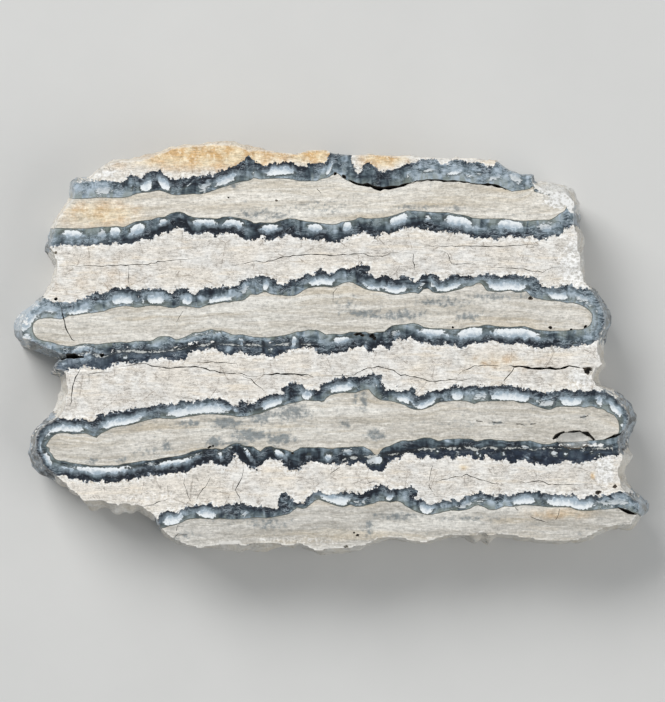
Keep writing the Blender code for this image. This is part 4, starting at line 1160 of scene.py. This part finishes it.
# Enamel: blue-grey glassy prisms that darken across the band, with pale wisps, a smoky
# inner part, a nearly black rim and frosting where it is pale or at its edge.
dentine_away = made.times(kept["dentine"], -1.0)
band_width = made.math("SUBTRACT", kept["plate"], kept["dentine"])
across_value = made.math("DIVIDE", dentine_away, made.math("MAXIMUM", band_width, 0.4))
columns = made.noise(made.stretched(mm, (0.7, 0.14, 0.2), 0.1), 1.0, 2.0, 0.5, 0.8)
prisms = made.noise(made.stretched(mm, (2.0, 0.5, 0.4), 0.15), 1.0, 3.0, 0.6, 0.8)
clouds = made.noise(made.stretched(mm, (0.35, 0.7, 0.3)), 1.0, 3.0, 0.5, 1.0)
shade = made.plus(0.2, across_value, 0.62)
for grain, weight in ((clouds, 1.9), (columns, 1.4), (prisms, 0.3)):
    shade = made.sway(shade, grain, weight)
shade = made.plus(shade, crumbs, 0.1)
shade = made.plus(shade, tone, 0.36)
enamel_colour = made.ramp(shade, [
    (0.0, (178, 191, 202)), (0.18, (138, 152, 163)), (0.38, (100, 113, 120)),
    (0.58, (70, 82, 89)), (0.78, (44, 53, 62)), (1.0, (24, 29, 37)),
])
wisps = made.noise(made.stretched(mm, (0.55, 1.5, 0.8), 0.3), 1.0, 5.0, 0.65, 1.6)
wisp_some = made.step(made.plus(grain_mid, tone, -0.08), 0.42, 0.56)
wisp_line = made.times(made.line_at(wisps, 0.52, 0.045), wisp_some)
wisp_power = made.plus(0.6, tone, -0.25)
enamel_colour = made.tint(enamel_colour, wisp_line, wisp_power, paint(190, 202, 210))
smoky = made.times(made.step(across_value, 0.62, 0.12), made.step(columns, 0.62, 0.42))
smoky = made.times(smoky, made.step(tone, 0.8, -0.2))
enamel_colour = made.tint(enamel_colour, smoky, 0.7, paint(122, 128, 116))
dark_edge = made.sway(made.plus(kept["plate"], ragged, 0.6), grain_mid, 1.2)
rim_dark = made.times(made.step(dark_edge, 0.72, 0.24), made.step(tone, -1.1, 0.2))
enamel_colour = made.tint(enamel_colour, rim_dark, 0.72, paint(31, 37, 46))
frosty = made.math("MAXIMUM", made.step(plate_edge, 0.5, 0.05), made.step(tone, -0.35, -0.8))
frosting = made.plus(made.times(grain_fine, 0.4), wisps, 0.6)
frost = made.times(made.step(frosting, 0.52, 0.6), frosty)
enamel_colour = made.tint(enamel_colour, frost, 0.65, paint(182, 193, 204))

# The layers of the fourth and sixth bands have parted: the enamel under the slit is inky.
parting = made.plus(made.plus(kept["seam"], ragged, 1.0), crumbs, 0.5)
inky = made.times(made.step(parting, 0.0, -0.4), made.step(clouds, 0.66, 0.46))
enamel_colour = made.tint(enamel_colour, inky, 0.6, paint(44, 54, 70))

# Pearly lenses: white towards the dentine, bluer and scalloped towards the cementum, with a
# soft halo outside and a thin dark outline inside. Then an olive line along the dentine.
lens_out = made.step(kept["lens_over"], -0.1, 0.8)
scallop_places = made.stretched(mm, (1.0, 0.2, 0.3))
scallops = made.math("SUBTRACT", made.noise(scallop_places, 1.0, 2.0, 0.5), 0.5)
faint = made.rest_of(kept["whiteness"])
lens_value = made.plus(kept["lens"], ragged, 0.5)
lens_value = made.plus(lens_value, crumbs, 0.35)
lens_value = made.plus(lens_value, made.times(scallops, lens_out), 1.1)
lens_value = made.plus(lens_value, faint, -0.35)
lens_value = made.plus(made.math("SUBTRACT", lens_value, 0.07), lens_out, 0.12)
broken_up = made.times(made.math("SUBTRACT", wisps, 0.5), faint)
lens_value = made.plus(lens_value, broken_up, 5.0)
halo = made.times(made.step(lens_value, -0.45, -0.02), kept["whiteness"])
halo = made.times(halo, lens_out)
enamel_colour = made.tint(enamel_colour, halo, 0.55, paint(152, 165, 174))
outline = made.times(made.step(lens_value, -0.3, -0.1), made.rest_of(lens_out))
enamel_colour = made.tint(enamel_colour, outline, 0.6, paint(74, 80, 76))
lens_height = made.plus(made.plus(kept["lens_over"], ragged, 1.2), scallops, 1.2)
lens_colour = made.mix(made.step(lens_height, -0.4, 0.9), paint(240, 243, 243),
                       paint(160, 175, 186))
lens_colour = made.layers(lens_colour, [
    (grain_fine, 0.5, 0.64, 0.6, (232, 238, 243)),
    (grain_fine, 0.47, 0.35, 0.45, (168, 182, 194)),
])
lens_power = made.math("POWER", kept["whiteness"], 0.45)
lens_mask = made.times(made.step(lens_value, 0.0, 0.08), lens_power)
enamel_colour = made.mix(lens_mask, enamel_colour, lens_colour)
olive = made.step(made.math("ADD", dentine_edge, 0.17), 0.0, 0.07)
enamel_colour = made.tint(enamel_colour, olive, 0.8, paint(84, 84, 72))

# Black clay lies beside the slit of the parted layers, and white salts lie in it.
seam_away = made.math("ABSOLUTE", parting)
clay = made.times(made.step(seam_away, 0.6, 0.25), made.rest_of(lens_mask))
salty = made.sway(seam_away, grain_mid, -1.1)
salt = made.times(made.step(salty, 0.16, 0.05), made.step(grain_one, 0.42, 0.52))
enamel_colour = made.tint(enamel_colour, clay, 0.65, paint(36, 39, 42))
enamel_colour = made.tint(enamel_colour, salt, 0.8, paint(206, 207, 202))

# Chalk caps lie over everything, and so does the pale rim of the face, partly bruising of its edge
# and partly a painted highlight along it.
colour = made.mix(enamel, tissue, enamel_colour)
cap_value = made.sway(kept["cap"], grain_fine, 1.2)
colour = made.mix(made.step(cap_value, 0.35, 0.6), colour, chalk_colour)
bruise_and_highlight_near = made.plus(made.plus(kept["rim"], ragged, 0.9), crumbs, 0.6)
bruise_and_highlight_power = made.plus(0.5, enamel, -0.3)
colour = made.tint(colour, made.step(bruise_and_highlight_near, 0.42, 0.1), bruise_and_highlight_power, paint(238, 236, 230))
height = made.plus(made.times(grain_fine, 0.03), enamel, 0.04)
group_out = made.add("NodeGroupOutput")
made.feed(group_out.inputs["Colour"], colour)
made.feed(group_out.inputs["Height"], height)
made.feed(group_out.inputs["Enamel"], enamel)


def open_shader(material):
    """A material's nodes and its shader."""
    material.use_nodes = True
    return Nodes(material.node_tree), material.node_tree.nodes["Principled BSDF"]


def finish_shader(nodes, shader, colour, roughness, bump=None, specular=0.5):
    """Join a colour and a roughness to a shader, and a bump's height, distance and strength."""
    nodes.feed(shader.inputs["Base Color"], colour)
    nodes.feed(shader.inputs["Roughness"], roughness)
    shader.inputs["Specular IOR Level"].default_value = specular
    if bump:
        inputs = dict(zip(("Height", "Distance", "Strength"), bump))
        nodes.feed(shader.inputs["Normal"], nodes.add("ShaderNodeBump", inputs).outputs[0])


# The polished face: a low shine, a little duller on the dentine and cementum.
nodes, shader = open_shader(polished)
tooth = nodes.add("ShaderNodeGroup", node_tree=pattern).outputs
dull = nodes.math("SUBTRACT", 0.46, nodes.times(tooth["Enamel"], 0.16))
finish_shader(nodes, shader, tooth["Colour"], dull, (tooth["Height"], 0.001, 0.35), 0.35)

# The broken sides: matt, dusty and browned, with crusts of old cementum. The crusts and the glassy
# frost on the enamel are also made paler as painted light, lifting walls that face away from the lamps.
broken = bpy.data.materials.new("tooth_broken")
nodes, shader = open_shader(broken)
tooth = nodes.add("ShaderNodeGroup", node_tree=pattern).outputs
mm = nodes.places_mm()
bare = nodes.rest_of(nodes.times(tooth["Enamel"], 0.55))
crust_and_painted_light = nodes.times(nodes.step(nodes.noise(mm, 0.35, 5.0, 0.6), 0.46, 0.62), bare)
dust = nodes.times(nodes.step(nodes.noise(mm, 0.9, 5.0, 0.7), 0.52, 0.74), bare)
frost_and_painted_light = nodes.step(nodes.noise(mm, 0.8, 5.0, 0.65), 0.42, 0.62)
frost_and_painted_light = nodes.times(frost_and_painted_light, tooth["Enamel"])
# Painted light: the crusts and the frost are made paler to lift the shaded walls.
side = nodes.tint(tooth["Colour"], crust_and_painted_light, 0.5, paint(222, 212, 194))
side = nodes.tint(side, dust, 0.4, paint(150, 132, 108))
side = nodes.tint(side, frost_and_painted_light, 0.7, paint(192, 202, 210))
grit = nodes.noise(mm, 2.4, 6.0, 0.7)
finish_shader(nodes, shader, side, 0.8, (grit, 0.0006, 0.8), 0.3)

# The sawn underside: the same plates seen dull, with the saw's faint marks.
sawn = bpy.data.materials.new("tooth_sawn")
nodes, shader = open_shader(sawn)
tooth = nodes.add("ShaderNodeGroup", node_tree=pattern).outputs
marks = nodes.noise(nodes.stretched(nodes.places_mm(), (0.05, 3.0, 1.0), 0.35), 1.0, 3.0, 0.6)
under = nodes.tint(tooth["Colour"], nodes.step(marks, 0.5, 0.7), 0.25, paint(222, 214, 202))
under = nodes.mix(0.12, under, paint(214, 206, 194))
finish_shader(nodes, shader, under, 0.68, (marks, 0.0004, 0.5))

# Dirt and painted shade down the cracks and pits: the painted shade is nearly black, and paler in their
# top 0.4 mm.
dirt_and_painted_shade = bpy.data.materials.new("crack_dirt_and_shade")
nodes, shader = open_shader(dirt_and_painted_shade)
dirt_and_shade_places = nodes.places()
speckle = nodes.noise(dirt_and_shade_places, 2600.0, 3.0)
upright = nodes.add("ShaderNodeSeparateXYZ", {0: dirt_and_shade_places}).outputs[2]
shallow = nodes.step(upright, (THICKNESS - 0.4) * MM, (THICKNESS - 0.02) * MM)
dirt_and_shade_colour = nodes.mix(speckle, paint(9, 9, 10), paint(34, 31, 28))
dirt_and_shade_colour = nodes.mix(shallow, dirt_and_shade_colour, paint(92, 82, 70))
finish_shader(nodes, shader, dirt_and_shade_colour, 0.9)

# Each face takes the finish of the side it lies on. Faces below the polished one but well
# inside its edge line a crack or a pit. The chip's floor keeps the polished face's finish.
ON_FACE = 0.03
ON_BASE = 0.05
HOLLOWS_DEEP = 3.5
HOLLOWS_INSET = 0.65
CHIP_DEEP = 2.0
finishes = [polished, broken, sawn, dirt_and_painted_shade]
slab.data.materials.clear()
for material in finishes:
    slab.data.materials.append(material)
centres = np.empty(len(slab.data.polygons) * 3)
slab.data.polygons.foreach_get("center", centres)
centres = centres.reshape(-1, 3) / MM
below = THICKNESS - centres[:, 2]
on_drawing = centres[:, :2] - FACE_MIDDLE
inset = signed_distance(on_drawing, face_edge)
from_chip = (on_drawing - CHIP[:2]) / CHIP[2:4]
in_chip = np.hypot(from_chip[:, 0], from_chip[:, 1]) < 1.0
in_hollow = (below >= ON_FACE) & (below < HOLLOWS_DEEP) & (inset > HOLLOWS_INSET)
finish = np.full(len(centres), finishes.index(broken))
finish[below < ON_FACE] = finishes.index(polished)
finish[centres[:, 2] < ON_BASE] = finishes.index(sawn)
# Cracks and pits take the near-black finish of dirt and painted shade.
finish[in_hollow] = finishes.index(dirt_and_painted_shade)
finish[in_hollow & in_chip & (below < CHIP_DEEP)] = finishes.index(polished)
slab.data.polygons.foreach_set("material_index", finish)
slab.data.update()

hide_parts("tooth_slice")
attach(slab, "root")


# Floor, light and camera.
# A plain pale table, soft daylight from the upper left, and a camera almost straight above
# that leans ten degrees towards the near side. Sizes in metres, lamps in watts.
FLOOR_SIZE = 3.0
LAMP_SIZE = 0.9
WINDOW_WATTS = 19.0
REFLECTOR_WATTS = 6.0
SKY_COLOUR = (0.9, 0.95, 1.0, 1.0)
SKY_STRENGTH = 0.34
bpy.ops.object.select_all(action="DESELECT")
bpy.ops.mesh.primitive_plane_add(size=FLOOR_SIZE, location=(0.0, 0.0, 0.0))
floor = bpy.context.object
floor.name = "table"
floor_paint = bpy.data.materials.new("table_white")
nodes, shader = open_shader(floor_paint)
floor_grain = nodes.noise(nodes.places(), 60.0, 3.0)
floor_colour = nodes.mix(floor_grain, paint(206, 205, 202), paint(212, 211, 208))
finish_shader(nodes, shader, floor_colour, 0.85)
floor.data.materials.append(floor_paint)


def soft_light(name, place, watts):
    """A square lamp aimed at the slab."""
    lamp = bpy.data.lights.new(name, "AREA")
    lamp.shape = "SQUARE"
    lamp.size = LAMP_SIZE
    lamp.energy = watts
    fixture = bpy.data.objects.new(name, lamp)
    fixture.location = place
    fixture.rotation_euler = (-fixture.location).to_track_quat("-Z", "Y").to_euler()
    bpy.context.scene.collection.objects.link(fixture)


soft_light("window", (-0.75, 0.85, 0.95), WINDOW_WATTS)
soft_light("reflector", (0.9, -0.5, 0.8), REFLECTOR_WATTS)
world = bpy.data.worlds.new("studio")
world.use_nodes = True
sky = world.node_tree.nodes["Background"].inputs
sky["Color"].default_value = SKY_COLOUR
sky["Strength"].default_value = SKY_STRENGTH
bpy.context.scene.world = world
bpy.context.scene.view_settings.view_transform = "Standard"

CAMERA_RISE = math.radians(80.0)
CAMERA_AWAY = 0.52
CAMERA_AIM = on_slab(0.25, -0.68)
FOCAL_LENGTH = 159.5
camera_data = bpy.data.cameras.new("camera")
camera_data.sensor_width = 36.0
camera_data.lens = FOCAL_LENGTH
camera_data.clip_start = 0.01
camera = bpy.data.objects.new("camera", camera_data)
back = mathutils.Vector((0.0, -math.cos(CAMERA_RISE), math.sin(CAMERA_RISE)))
camera.location = mathutils.Vector(CAMERA_AIM) + back * CAMERA_AWAY
camera.rotation_euler = back.to_track_quat("Z", "Y").to_euler()
bpy.context.scene.collection.objects.link(camera)
bpy.context.scene.camera = camera

bpy.context.view_layer.update()
